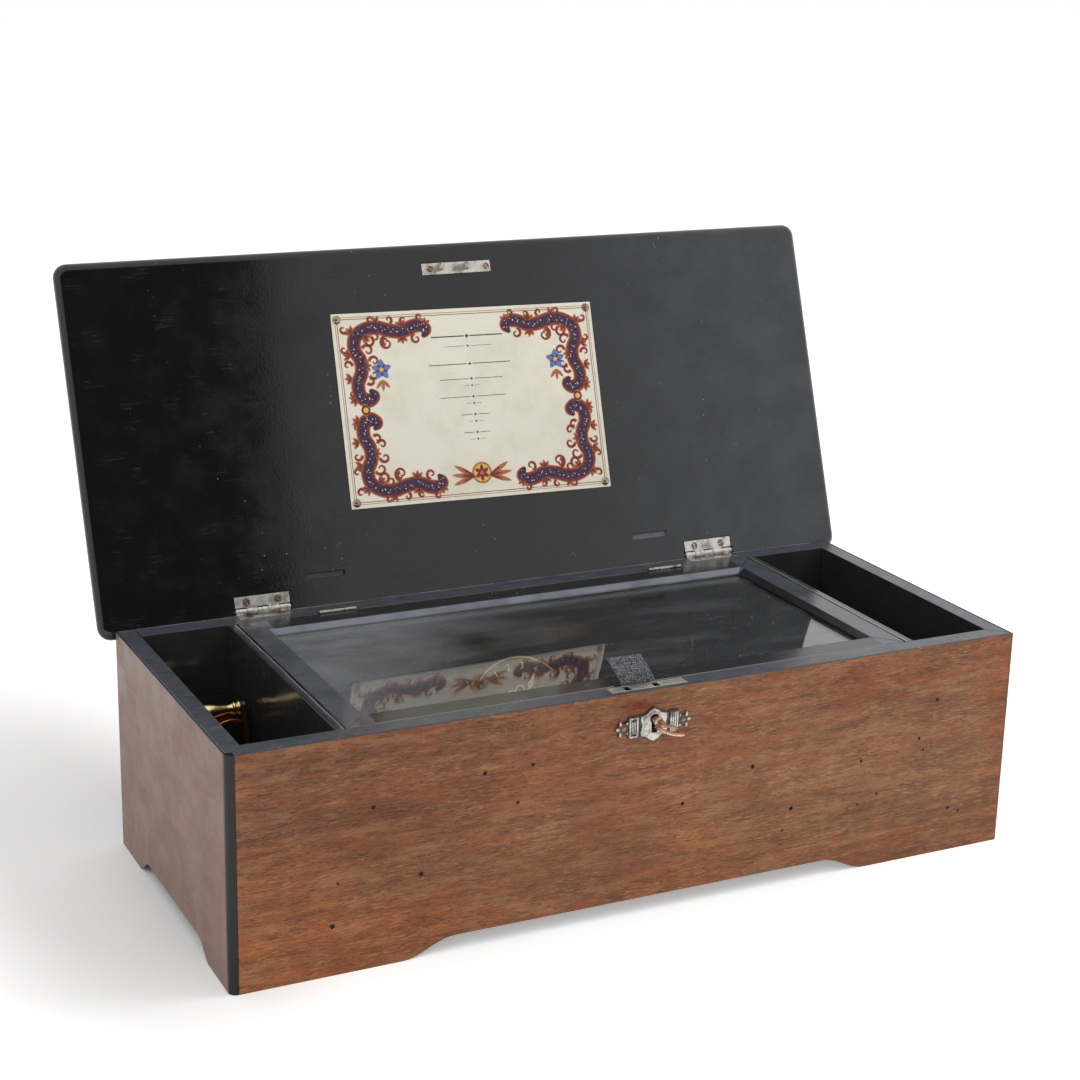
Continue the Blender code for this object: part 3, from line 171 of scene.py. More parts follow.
def grid(points, wrap_rows=False, wrap_columns=False, caps=False):
    """A surface through a grid of points, rows by columns by three."""
    rows, columns = points.shape[:2]
    index = np.arange(rows * columns).reshape(rows, columns)
    if wrap_rows:
        index = np.vstack((index, index[:1]))
    if wrap_columns:
        index = np.hstack((index, index[:, :1]))
    quads = np.stack((index[:-1, :-1], index[:-1, 1:], index[1:, 1:], index[1:, :-1]), -1)
    faces = quads.reshape(-1, 4).tolist()
    if caps:
        faces += [index[0, :columns][::-1].tolist(), index[-1, :columns].tolist()]
    return points.reshape(-1, 3), faces


def merged(*shapes):
    """Several shapes as one list of points and faces."""
    verts = np.vstack([np.asarray(shape[0], float) for shape in shapes])
    faces = []
    start = 0
    for points, own in shapes:
        faces += [[start + i for i in face] for face in own]
        start += len(points)
    return verts, faces


def along_axis(axis, along, a, b):
    """Points of a flat outline, put square to an axis."""
    parts = {"x": (along, a, b), "y": (a, along, b), "z": (a, b, along)}[axis]
    return np.stack(np.broadcast_arrays(*parts), -1)


def prism(outline, axis, low, high):
    """An outline carried straight along an axis, with flat ends."""
    a, b = np.array(outline, float).T
    ends = [along_axis(axis, level, a, b) for level in (low, high)]
    return grid(np.stack(ends), wrap_columns=True, caps=True)


def turned(profile, axis, centre, sides):
    """A profile of radius and height along the axis, turned once round it."""
    radius, height = np.array(profile, float).T[:, :, None]
    angle = np.linspace(0, 2 * math.pi, sides, endpoint=False)
    a = centre[0] + radius * np.cos(angle)
    b = centre[1] + radius * np.sin(angle)
    return grid(along_axis(axis, height + 0 * a, a, b), wrap_columns=True)


def dome(axis, centre, level, height, wide, tall, sides=14, steps=5):
    """Half an ellipsoid on a flat face: at angle t its radius is sin t and its height cos t."""
    t = np.linspace(0, math.pi / 2, steps + 1)[:, None]
    angle = np.linspace(0, 2 * math.pi, sides, endpoint=False)
    a = centre[0] + wide * np.sin(t) * np.cos(angle)
    b = centre[1] + tall * np.sin(t) * np.sin(angle)
    return grid(along_axis(axis, level + height * np.cos(t) + 0 * a, a, b), wrap_columns=True)


def arc(centre, radius, start, end, steps):
    """Points on an arc between two angles in degrees."""
    angle = np.radians(np.linspace(start, end, steps + 1))
    return np.stack((centre[0] + radius * np.cos(angle), centre[1] + radius * np.sin(angle)), -1)


def smooth_line(points, steps=8):
    """A curve through points: a cubic between each two, with the slope of its neighbours' chord."""
    points = np.array(points, float)
    padded = np.vstack((2 * points[0] - points[1], points, 2 * points[-1] - points[-2]))
    share = np.linspace(0, 1, steps, endpoint=False)[:, None]
    before, start, end, after = padded[:-3], padded[1:-2], padded[2:-1], padded[3:]
    before, start, end, after = (p[:, None, :] for p in (before, start, end, after))
    cubic = 0.5 * (2 * start + (end - before) * share
                   + (2 * before - 5 * start + 4 * end - after) * share ** 2
                   + (3 * start - before - 3 * end + after) * share ** 3)
    return np.vstack((cubic.reshape(-1, points.shape[1]), points[-1:]))


def both_sides(path, width):
    """The two sides of a strip: half its width off to each side of the path's own direction."""
    path = np.asarray(path, float)
    along = np.gradient(path, axis=0)
    along /= np.maximum(np.linalg.norm(along, axis=1, keepdims=True), 1e-9)
    out = np.stack((-along[:, 1], along[:, 0]), -1) * (np.broadcast_to(width, len(path))[:, None] / 2)
    return path + out, path - out


def mesh_from(name, shape, body, weld=True):
    """A Blender mesh of a shape at rest; weld joins its doubled points and turns its faces out."""
    made = bpy.data.meshes.new(name)
    made.from_pydata(at_rest(shape[0], body).tolist(), [], shape[1])
    if weld:
        work = bmesh.new()
        work.from_mesh(made)
        bmesh.ops.remove_doubles(work, verts=work.verts, dist=1e-6)
        bmesh.ops.recalc_face_normals(work, faces=work.faces)
        work.to_mesh(made)
        work.free()
    return made


def finish_edges(made, bevel, angle=35.0):
    """Smooth faces with hard corners, a small rounded edge, and flat faces kept flat."""
    made.data.shade_smooth()
    made.data.set_sharp_from_angle(angle=math.radians(angle))
    if bevel:
        edge = made.modifiers.new("edges", "BEVEL")
        edge.width = bevel * MM
        edge.segments = 2
        edge.limit_method = "ANGLE"
        edge.angle_limit = math.radians(angle)
    flat = made.modifiers.new("flat", "WEIGHTED_NORMAL")
    flat.keep_sharp = True


def linked(name, data):
    """A new object with its data, in the scene."""
    made = bpy.data.objects.new(name, data)
    bpy.context.scene.collection.objects.link(made)
    return made


def added(name, mesh, finish, body, replaced=()):
    """A new object with its finish, on its body, standing for the CAD nodes named."""
    made = linked(name, mesh)
    made.data.materials.append(finish)
    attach(made, body)
    if replaced:
        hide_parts(*replaced)
    return made


def piece(name, shape, finish, body, bevel=0.0, replaced=(), weld=True, angle=35.0):
    """A new piece from a shape in case millimetres."""
    made = added(name, mesh_from(name, shape, body, weld), finish, body, replaced)
    if weld:
        finish_edges(made, bevel, angle=angle)
    return made


def dressed(node, finish, bevel=0.3, holes=None):
    """A CAD node's copy with its triangles merged, its edges rounded and holes cut, in its place."""
    source = frame["nodes"][node]
    work = bmesh.new()
    work.from_mesh(source.data)
    bmesh.ops.remove_doubles(work, verts=work.verts, dist=2e-6)
    bmesh.ops.dissolve_limit(work, angle_limit=math.radians(0.6), verts=work.verts, edges=work.edges)
    mesh = bpy.data.meshes.new(node + "_dressed")
    work.to_mesh(mesh)
    work.free()
    made = added(node + "_dressed", mesh, finish, source["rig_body"], (node,))
    if holes:
        carve(made, holes)
    finish_edges(made, bevel)
    return made


def carve(made, shape):
    """Takes a shape in case millimetres away from a piece for good."""
    helper = linked("helper", mesh_from("helper", shape, made["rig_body"]))
    change = made.modifiers.new("carve", "BOOLEAN")
    change.operation = "DIFFERENCE"
    change.solver = "EXACT"
    change.object = helper
    bpy.context.view_layer.update()
    result = bpy.data.meshes.new_from_object(made.evaluated_get(bpy.context.evaluated_depsgraph_get()))
    made.modifiers.clear()
    made.data = result
    bpy.data.objects.remove(helper)


def painted(nodes, finish):
    """Gives CAD nodes that stay as they are their finish."""
    for node in nodes:
        data = frame["nodes"][node].data
        data.materials.clear()
        data.materials.append(finish)


# Materials

class Tree:
    """Short calls that add nodes to a shader tree and hand back their outputs."""

    def __init__(self, tree):
        self.tree = tree

    def feed(self, socket, value):
        """Joins an output to a socket, or sets the socket to a value."""
        if isinstance(value, bpy.types.NodeSocket):
            self.tree.links.new(value, socket)
        elif socket.type == "RGBA" and len(value) == 3:
            socket.default_value = (*value, 1.0)
        else:
            socket.default_value = value

    def add(self, kind, inputs=None, output=0, **settings):
        """A node of a kind, with its settings and inputs."""
        node = self.tree.nodes.new("ShaderNode" + kind)
        for key, value in settings.items():
            setattr(node, key, value)
        for key, value in (inputs or {}).items():
            self.feed(node.inputs[key], value)
        return node.outputs[output]

    def maths(self, operation, a, b=0.0):
        return self.add("Math", {0: a, 1: b}, operation=operation)

    def times(self, a, b):
        return self.maths("MULTIPLY", a, b)

    def plus(self, a, b):
        return self.maths("ADD", a, b)

    def minus(self, a, b):
        return self.maths("SUBTRACT", a, b)

    def greater(self, a, b):
        return self.maths("MAXIMUM", a, b)

    def lesser(self, a, b):
        return self.maths("MINIMUM", a, b)

    def vector(self, operation, a, b=(0.0, 0.0, 0.0)):
        return self.add("VectorMath", {0: a, 1: b}, operation=operation)

    def distance(self, a, b):
        return self.add("VectorMath", {0: a, 1: b}, 1, operation="DISTANCE")

    def length(self, a):
        return self.add("VectorMath", {0: a}, 1, operation="LENGTH")

    def split(self, point):
        """A point's three coordinates."""
        node = self.tree.nodes.new("ShaderNodeSeparateXYZ")
        self.feed(node.inputs[0], point)
        return node.outputs

    def mix(self, share, a, b, blend="MIX"):
        return self.add("Mix", {0: share, 6: a, 7: b}, 2, data_type="RGBA", blend_type=blend)

    def blend(self, share, a, b):
        return self.add("Mix", {0: share, 2: a, 3: b}, 0, data_type="FLOAT")

    def fade(self, value, low, high, start=0.0, end=1.0):
        """A smooth step of a value between two levels."""
        inputs = {0: value, 1: low, 2: high, 3: start, 4: end}
        return self.add("MapRange", inputs, interpolation_type="SMOOTHSTEP")

    def noise(self, point, scale, detail=3.0, rough=0.5, output=0):
        inputs = {"Vector": point, "Scale": scale, "Detail": detail, "Roughness": rough}
        return self.add("TexNoise", inputs, output)

    def cells(self, point, scale, feature="F1"):
        return self.add("TexVoronoi", {"Vector": point, "Scale": scale}, feature=feature)

    def ramp(self, value, stops):
        """Colours at levels of a value."""
        made = self.tree.nodes.new("ShaderNodeValToRGB")
        bar = made.color_ramp.elements
        for _ in stops[2:]:
            bar.new(0.5)
        for element, (level, colour) in zip(bar, stops):
            element.position = level
            element.color = (*colour, 1.0)
        self.feed(made.inputs[0], value)
        return made.outputs[0]

    def stretched(self, point, x, y, z):
        """A point with each of its coordinates scaled."""
        return self.vector("MULTIPLY", point, (x, y, z))

    def use(self, group, **inputs):
        """Places a shared group; its outputs come back by name."""
        node = self.tree.nodes.new("ShaderNodeGroup")
        node.node_tree = group
        for key, value in inputs.items():
            self.feed(node.inputs[key], value)
        return node.outputs


def group(name, inputs, outputs, build):
    """A shader group with named sockets; build gets its tree and inputs and returns its outputs."""
    made = bpy.data.node_groups.new(name, "ShaderNodeTree")
    kinds = {"point": "NodeSocketVector", "value": "NodeSocketFloat", "colour": "NodeSocketColor"}
    for key, kind in inputs.items():
        made.interface.new_socket(key, in_out="INPUT", socket_type=kinds[kind])
    for key, kind in outputs.items():
        made.interface.new_socket(key, in_out="OUTPUT", socket_type=kinds[kind])
    way_in = made.nodes.new("NodeGroupInput")
    way_out = made.nodes.new("NodeGroupOutput")
    tree = Tree(made)
    results = build(tree, {key: way_in.outputs[key] for key in inputs})
    for key, value in zip(outputs, results):
        tree.feed(way_out.inputs[key], value)
    return made


def build_walnut(tree, given):
    """Straight grain along X: wide streaks, fine lines, and short dashes, dark pores and pale flecks."""
    point = given["Point"]
    wave = tree.minus(tree.noise(tree.stretched(point, 0.009, 0.03, 0.03), 1.0, 2.0), 0.5)
    bend = tree.add("CombineXYZ", {1: tree.times(wave, 5.0), 2: tree.times(wave, 8.0)})
    bent = tree.vector("ADD", point, bend)
    wide = tree.noise(tree.stretched(bent, 0.02, 0.16, 0.16), 1.0, 4.0, 0.6)
    fine = tree.noise(tree.stretched(bent, 0.07, 0.85, 0.85), 1.0, 4.0, 0.7)
    tone = tree.blend(0.48, wide, fine)
    colour = tree.ramp(tone, [(0.30, (0.086, 0.029, 0.0115)), (0.43, (0.160, 0.054, 0.019)),
                              (0.54, (0.226, 0.079, 0.029)), (0.70, (0.325, 0.136, 0.055))])
    clump = tree.noise(tree.stretched(point, 0.020, 0.045, 0.045), 1.0, 3.0)
    clump = tree.fade(clump, 0.36, 0.64, 0.35, 1.0)
    pores = tree.noise(tree.stretched(bent, 0.24, 1.70, 1.70), 1.0, 2.0, 0.6)
    pore = tree.fade(pores, 0.565, 0.66)
    apart = tree.vector("ADD", bent, (40.0, 9.0, 17.0))
    flecks = tree.noise(tree.stretched(apart, 0.13, 1.20, 1.20), 1.0, 3.0, 0.65)
    fleck = tree.times(tree.fade(flecks, 0.53, 0.62), clump)
    colour = tree.mix(tree.times(fleck, 0.64), colour, (0.350, 0.206, 0.100))
    colour = tree.mix(tree.times(pore, 0.76), colour, (0.042, 0.018, 0.010))
    height = tree.minus(tree.times(fine, 0.4), pore)
    return colour, height, pore


def build_edges(tree, given):
    """How near a point is to an edge of a box: the middle one of its three distances to the box's sides."""
    point = given["Point"]
    room = tree.vector("MINIMUM", tree.vector("SUBTRACT", point, given["Low"]),
                       tree.vector("SUBTRACT", given["High"], point))
    x, y, z = tree.split(room)
    larger = tree.greater(x, y)
    middle = tree.greater(tree.lesser(x, y), tree.lesser(larger, z))
    rough = tree.noise(point, 0.5, 5.0, 0.75)
    patches = tree.fade(tree.noise(point, 0.035, 3.0), 0.36, 0.60, 0.35, 1.0)
    limit = tree.times(tree.times(rough, patches), given["Width"])
    return (tree.fade(tree.minus(middle, limit), 0.0, 0.3, 1.0, 0.0),)


def build_chip(tree, given):
    """A ragged spot round a centre."""
    away = tree.distance(given["Point"], given["Centre"])
    ragged = tree.times(tree.noise(given["Point"], 0.9, 3.0, 0.7), given["Reach"])
    return (tree.fade(tree.plus(away, ragged), given["Reach"],
                      tree.times(given["Reach"], 1.25), 1.0, 0.0),)


def build_dust(tree, given):
    """Small pale specks: the middles of scattered cells, thicker where a slow noise is high."""
    near = tree.cells(given["Point"], given["Scale"])
    size = tree.noise(given["Point"], tree.times(given["Scale"], 2.3), 1.0)
    clump = tree.fade(tree.noise(given["Point"], 0.02, 2.0), 0.40, 0.66)
    limit = tree.times(tree.times(tree.fade(size, 0.5, 0.7), clump), given["Amount"])
    return (tree.fade(tree.minus(limit, near), 0.0, 0.03),)


def build_scratches(tree, given):
    """Hairlines: thin level bands of two long stretched noises that cross."""
    total = None
    for turn in (0.35, -0.85):
        bent = tree.add("Mapping", {"Vector": given["Point"], "Rotation": (turn, 0.4 * turn, turn),
                                    "Scale": (0.012, 0.5, 0.5)})
        line = tree.maths("ABSOLUTE", tree.minus(tree.noise(bent, 1.0, 2.0), 0.5))
        thin = tree.fade(line, 0.0, 0.012, 1.0, 0.0)
        total = thin if total is None else tree.greater(total, thin)
    broken = tree.fade(tree.noise(given["Point"], 0.06, 3.0), 0.52, 0.66)
    return (tree.times(total, broken),)


def build_tarnish(tree, given):
    """Patches of dulled metal, with fine pits in them."""
    slow = tree.fade(tree.noise(given["Point"], 0.16, 5.0, 0.65), 0.44, 0.66)
    pits = tree.fade(tree.noise(given["Point"], 1.6, 3.0, 0.7), 0.52, 0.68)
    grain = tree.noise(given["Point"], 3.0, 2.0)
    return tree.greater(slow, tree.times(pits, 0.6)), grain


WALNUT_GRAIN = group("walnut_grain", {"Point": "point"},
                     {"Color": "colour", "Height": "value", "Pore": "value"}, build_walnut)
WORN_EDGES = group("worn_edges", {"Point": "point", "Low": "point", "High": "point", "Width": "value"},
                   {"Mask": "value"}, build_edges)
CHIP = group("chip", {"Point": "point", "Centre": "point", "Reach": "value"}, {"Mask": "value"}, build_chip)
DUST = group("dust", {"Point": "point", "Scale": "value", "Amount": "value"}, {"Mask": "value"}, build_dust)
SCRATCHES = group("scratches", {"Point": "point"}, {"Mask": "value"}, build_scratches)
TARNISH = group("tarnish", {"Point": "point"}, {"Mask": "value", "Grain": "value"}, build_tarnish)


class Finish(Tree):
    """A material: its tree, its shader, and a point in case millimetres, lid shut and key upright."""

    def __init__(self, name, body="case", **constants):
        self.material = bpy.data.materials.new(name)
        self.material.use_nodes = True
        super().__init__(self.material.node_tree)
        self.shader = self.tree.nodes["Principled BSDF"]
        self.set(**constants)
        rotation, origin = Matrix.Identity(3), np.zeros(3)
        if body == "lid":
            rotation, origin = Matrix.Rotation(LID_OPEN, 3, "X"), np.array((0.0, HINGE_Y, HINGE_Z))
        if body == "key":
            rotation, origin = Matrix.Rotation(-KEY_TURNED, 3, "Y"), np.array((0.0, 0.0, KEY_Z))
        centre = origin + (0.0, SET_BACK, 0.0)
        shift = origin - np.array(rotation) @ centre
        where = self.add("TexCoord", output="Object")
        self.point = self.add("Mapping", {"Vector": where, "Scale": (1 / MM,) * 3,
                                          "Rotation": rotation.to_euler(), "Location": tuple(shift)})

    def set(self, **sockets):
        """Joins or sets the shader's sockets, named with _ for each space."""
        for key, value in sockets.items():
            self.feed(self.shader.inputs[key.replace("_", " ")], value)
        return self.material

    def bump(self, height, depth):
        """Raises the surface by a height from 0 to 1, times a depth in millimetres."""
        self.feed(self.shader.inputs["Normal"], self.add("Bump", {"Height": height, "Distance": depth * MM}))

    def tint(self, colour, mask, share, tone):
        """A colour with a share of a tone where a mask is."""
        return self.mix(self.times(mask, share), colour, tone)

    def spots(self, colour, places, tone):
        """A colour with ragged spots of a tone, each place a centre and a reach."""
        for centre, reach in places:
            mask = self.use(CHIP, Point=self.point, Centre=centre, Reach=reach)["Mask"]
            colour = self.mix(mask, colour, tone)
        return colour


CHIP_COLOUR = (0.42, 0.27, 0.14)
PIT_COLOUR = (0.07, 0.035, 0.02)
HOLE_COLOUR = (0.006, 0.004, 0.003)
SMALL_ZONE = 60.0


def walnut(name, body="case", along_y=False, chips=(), zones=(), holes=(), red=0.35, painted_glare=0.0, shadow=1.0):
    """Polished walnut veneer: grain, redder worn blotches, paler scuffs, tan chips and dark holes.

    zones are places of another tone: a centre, a reach along each axis, the tone and its share; the small
    ones break up into flakes. shadow darkens the whole veneer as painted shade, and the pale share mixes in a
    pale grey as a painted glare. The case's veneers are black on their upper edge, which is part of the rim;
    that black carries the rim's painted sheen.
    """
    made = Finish(name, body, Specular_IOR_Level=0.3)
    point = made.point
    if along_y:
        point = made.add("Mapping", {"Vector": point, "Rotation": (0.0, 0.0, math.pi / 2)})
    grain = made.use(WALNUT_GRAIN, Point=point)
    colour = grain["Color"]
    edge = made.noise(made.stretched(point, 0.35, 1.0, 1.0), 0.11, 6.0, 0.75)
    flake = made.noise(made.stretched(point, 0.30, 1.0, 1.0), 0.30, 5.0, 0.75)
    flake = made.fade(flake, 0.42, 0.56, 0.15, 1.0)
    for centre, reach, tone, share in zones:
        away = made.vector("SUBTRACT", made.point, centre)
        away = made.length(made.vector("MULTIPLY", away, tuple(1 / r for r in reach)))
        ragged = made.plus(away, made.times(edge, 2.4))
        mask = made.times(made.fade(ragged, 1.85, 2.15, 1.0, 0.0), share)
        if reach[0] < SMALL_ZONE:
            mask = made.times(mask, flake)
        colour = made.mix(mask, colour, made.mix(1.0, colour, tone, "MULTIPLY"))
    blotch = made.fade(made.noise(made.stretched(point, 0.40, 1.0, 1.0), 0.055, 6.0, 0.72), 0.53, 0.60)
    blotch = made.times(blotch, made.minus(1.0, made.times(grain["Pore"], 0.8)))
    colour = made.tint(colour, blotch, red, (0.225, 0.060, 0.028))
    scuff = made.fade(made.noise(made.stretched(point, 0.25, 1.0, 1.0), 0.13, 6.0, 0.75), 0.52, 0.60)
    colour = made.tint(colour, scuff, 0.38, (0.292, 0.156, 0.076))
    warm = made.noise(made.stretched(point, 0.012, 0.030, 0.030), 1.0, 4.0, 0.6)
    warmer = made.mix(1.0, colour, (1.10, 0.93, 0.72), "MULTIPLY")
    colour = made.mix(made.fade(warm, 0.46, 0.62, 0.0, 0.45), colour, warmer)
    band = made.noise(made.stretched(point, 0.05, 0.008, 0.008), 1.0, 3.0, 0.6)
    bars = made.noise(made.stretched(point, 0.004, 0.045, 0.045), 1.0, 4.0, 0.6)
    shade = made.times(made.fade(band, 0.3, 0.7, 0.93, 1.07), made.fade(bars, 0.34, 0.66, 0.84, 1.10))
    # Painted shade: shadow darkens the whole veneer, as on a side that the light reaches less.
    shade = made.times(shade, shadow)
    colour = made.mix(1.0, colour, made.add("CombineColor", {0: shade, 1: shade, 2: shade}), "MULTIPLY")
    # Painted glare: a pale grey mixed over the whole veneer stands for the sheen off its gloss.
    if painted_glare:
        colour = made.mix(painted_glare, colour, (0.26, 0.18, 0.155))
    colour = made.spots(colour, chips, CHIP_COLOUR)
    colour = made.spots(colour, [((x, -HALF_D, z), 1.9 * radius) for x, z, radius in holes], HOLE_COLOUR)
    # The upper edge takes the rim's top colour, which is a painted sheen on black lacquer.
    if body == "case":
        top = made.fade(made.split(made.point)[2], CASE_HEIGHT - 0.4, CASE_HEIGHT - 0.2)
        colour = made.mix(top, colour, (0.045, 0.048, 0.058))
    made.bump(grain["Height"], 0.05)
    rough = made.fade(made.noise(point, 0.05, 4.0), 0.3, 0.7, 0.32, 0.46)
    return made.set(Base_Color=colour, Roughness=rough)


def lacquer(name, body="case", colour=(0.012, 0.012, 0.013), rough=(0.08, 0.16), dust=0.3, wear=0.0, box=None,
            worn=(0.10, 0.095, 0.09), chips=(), satin_and_sheen=None, painted_sheen=None, zones=(), hairs=0.16, level=0.5):
    """Black lacquer: gloss that dulls in patches, hairlines, specks of dust, and edges worn pale.

    satin_and_sheen is a height in millimetres and a colour: above that height the surface is rubbed duller
    and painted that colour as a painted sheen. painted_sheen is a colour and two places along X between
    which that colour is painted in as a sheen. zones are each a low corner, a high corner and the colour of
    what lies between them.
    """
    made = Finish(name, body, Specular_IOR_Level=level)
    point = made.point
    across, _, up = made.split(point)
    smear = made.noise(point, 0.035, 5.0, 0.6)
    shade = made.mix(made.fade(smear, 0.42, 0.75, 0.0, 0.35), colour, tuple(1.8 * c for c in colour))
    dull = made.fade(smear, 0.35, 0.75, *rough)
    # Painted sheen: a lighter colour is painted in along X, growing towards the right.
    if painted_sheen:
        sheen_share = made.fade(across, painted_sheen[1], painted_sheen[2])
        shade = made.mix(made.times(sheen_share, made.fade(smear, 0.3, 0.7, 0.55, 1.0)), shade, painted_sheen[0])
    # The top faces are rubbed duller and painted a lighter colour: wear and a painted sheen together.
    if satin_and_sheen:
        high = made.fade(up, satin_and_sheen[0] - 0.25, satin_and_sheen[0])
        streak = made.noise(made.stretched(point, 0.25, 0.6, 1.0), 0.35, 4.0, 0.6)
        lighter = tuple(1.5 * c for c in satin_and_sheen[1])
        shade = made.mix(high, shade, made.mix(made.fade(streak, 0.35, 0.7), satin_and_sheen[1], lighter))
        dull = made.plus(dull, made.times(high, 0.16))
    speck = made.use(DUST, Point=point, Scale=0.26, Amount=dust)["Mask"]
    hair = made.use(SCRATCHES, Point=point)["Mask"]
    shade = made.tint(shade, hair, hairs, (0.13, 0.13, 0.135))
    shade = made.tint(shade, speck, 0.6, (0.34, 0.34, 0.33))
    if wear:
        edge = made.use(WORN_EDGES, Point=point, Low=box[0], High=box[1], Width=wear)["Mask"]
        shade = made.tint(shade, edge, 0.75, worn)
    for low, high, tone in zones:
        x, y, z = made.split(made.vector("MINIMUM", made.vector("SUBTRACT", point, low),
                                         made.vector("SUBTRACT", high, point)))
        inside = made.fade(made.lesser(made.lesser(x, y), z), 0.0, 0.15)
        shade = made.mix(made.times(inside, made.fade(smear, 0.3, 0.6, 0.6, 1.0)), shade, tone)
    shade = made.spots(shade, chips, CHIP_COLOUR)
    pits = [(tuple(np.add(centre, (0.3, 0.2, 0.0))), 0.4 * reach) for centre, reach in chips]
    shade = made.spots(shade, pits, PIT_COLOUR)
    dull = made.plus(dull, made.times(made.greater(speck, hair), 0.25))
    made.bump(made.plus(made.noise(point, 0.5, 3.0), made.times(speck, 0.5)), 0.010)
    return made.set(Base_Color=shade, Roughness=dull)


def metal(name, bright, dark, body="case", rough=(0.22, 0.42), depth=0.03, tarnish=0.8, recess=None,
          rubbed=None):
    """Old plated or bare metal: bright, with dulled and darkened patches and fine pits.

    recess is the depth along Y past which a casting is darkened: dirt in its hollows and painted shade of its
    relief. rubbed is a centre, a radius and a colour: outside that radius, and below the centre, the metal
    turns that colour in specks, worn metal and a painted highlight together.
    """
    made = Finish(name, body, Metallic=1.0)
    old = made.use(TARNISH, Point=made.point)
    share = made.times(old["Mask"], tarnish)
    colour = made.mix(share, bright, dark)
    _, along, up = made.split(made.point)
    # Darker past the recess depth: dirt in the hollows and painted shade of the relief.
    if recess:
        colour = made.mix(made.fade(along, recess - 0.12, recess + 0.12), colour, (0.105, 0.094, 0.084))
    # Pale specks on the lower outer edge: worn metal and a painted highlight together.
    if rubbed:
        centre, radius, tone = rubbed
        outer = made.fade(made.distance(made.point, centre), radius, radius + 0.3)
        below = made.fade(up, centre[2] - 0.25, centre[2] + 0.35, 1.0, 0.0)
        specks = made.fade(made.noise(made.point, 1.6, 3.0, 0.7), 0.40, 0.50)
        colour = made.mix(made.times(made.times(outer, below), specks), colour, tone)
    dull = made.plus(made.blend(share, *rough), made.times(old["Grain"], 0.08))
    made.bump(made.minus(old["Grain"], old["Mask"]), depth)
    return made.set(Base_Color=colour, Roughness=dull)


def in_case(*corners):
    """Corners in row metres, put in case millimetres."""
    return [tuple(np.array(corner) / MM - (0.0, SET_BACK, 0.0)) for corner in corners]


def box_of(across, back, up):
    """The low and the high corner of what lies between two places along each axis."""
    return tuple(zip(*(sorted(span) for span in (across, back, up))))


CASE_BOX = ((-HALF_W, -HALF_D, -50.0), (HALF_W, HALF_D, CASE_HEIGHT))
RIM_CHIPS = [((x, -HALF_D + 1.0, CASE_HEIGHT), reach) for x, reach in
             ((-238.0, 1.5), (-203.0, 1.1), (-108.0, 1.3), (-34.0, 0.9), (8.0, 0.8), (97.0, 1.0),
              (196.0, 1.7), (233.0, 1.3))]
LEFT_CHIPS = [((-HALF_W + 1.0, y, CASE_HEIGHT), reach) for y, reach in
              ((-92.0, 1.2), (-62.0, 0.9), (-34.0, 1.1))]
FRONT_ZONES = [((-190.0, -HALF_D, 118.0), (120.0, 40.0, 48.0), (0.74, 0.70, 0.72), 0.9),
               ((-200.0, -HALF_D, 12.0), (140.0, 40.0, 38.0), (1.22, 1.10, 0.86), 0.8),
               ((150.0, -HALF_D, 70.0), (150.0, 40.0, 62.0), (1.04, 1.20, 1.26), 0.9),
               ((40.0, -HALF_D, 24.0), (70.0, 40.0, 26.0), (1.12, 1.14, 1.06), 0.8),
               ((176.0, -HALF_D, 126.0), (46.0, 40.0, 14.0), (0.80, 0.56, 0.44), 0.9),
               ((128.0, -HALF_D, 136.0), (30.0, 40.0, 9.0), (0.80, 0.53, 0.40), 0.9),
               ((205.0, -HALF_D, 108.0), (26.0, 40.0, 8.0), (0.86, 0.64, 0.52), 0.8),
               ((-14.0, -HALF_D, 139.0), (10.0, 40.0, 5.5), (0.86, 0.44, 0.24), 1.0),
               ((266.0, -HALF_D, 90.0), (14.0, 40.0, 110.0), (1.20, 0.95, 0.72), 0.8)]
WORM_HOLES = [(-182.3, 102.5, 1.1), (-111.8, 111.9, 1.1), (-80.4, 112.3, 1.0), (-89.9, 89.5, 0.9),
              (-152.2, 54.6, 1.3), (-204.4, 58.4, 0.7), (-208.0, 31.8, 1.3), (73.3, 85.6, 1.3),
              (23.6, 69.0, 1.1), (103.9, 51.7, 1.2), (98.3, 37.7, 0.8), (155.6, 76.0, 0.9),
              (169.5, 50.8, 0.8), (155.0, 45.5, 0.7), (200.3, 84.6, 0.9), (204.1, 75.9, 0.8),
              (212.4, 109.9, 1.0), (227.9, 30.7, 0.9), (236.5, 27.1, 0.8)]
front_walnut = walnut("walnut_front", chips=RIM_CHIPS, zones=FRONT_ZONES, holes=WORM_HOLES)
left_walnut = walnut("walnut_left_end", along_y=True, chips=LEFT_CHIPS, painted_glare=0.42, red=0.2, shadow=0.72)
right_walnut = walnut("walnut_right_end", along_y=True)
lid_walnut = walnut("walnut_lid", "lid")
FRAME_BOX = in_case(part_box("frame_left_rail")[0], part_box("frame_right_rail")[1])
FRAME_LOW, FRAME_HIGH = FRAME_BOX
INSIDE_TONE = (0.025, 0.025, 0.026)
FAR = 400.0
DEPTH = (-FAR, FAR)
COMPARTMENTS = [(*box_of((side * 190.0, side * 262.0), (-102.0, 102.0), (8.0, 147.5)), INSIDE_TONE)
                for side in (-1, 1)]
# The rim's top carries a painted sheen as well as its rubbed finish.
rim_black = lacquer("rim_black", rough=(0.10, 0.20), wear=1.5, box=CASE_BOX, dust=0.24,
                    worn=(0.34, 0.35, 0.37), chips=RIM_CHIPS + LEFT_CHIPS,
                    satin_and_sheen=(CASE_HEIGHT - 0.1, (0.042, 0.046, 0.057)), zones=COMPARTMENTS)


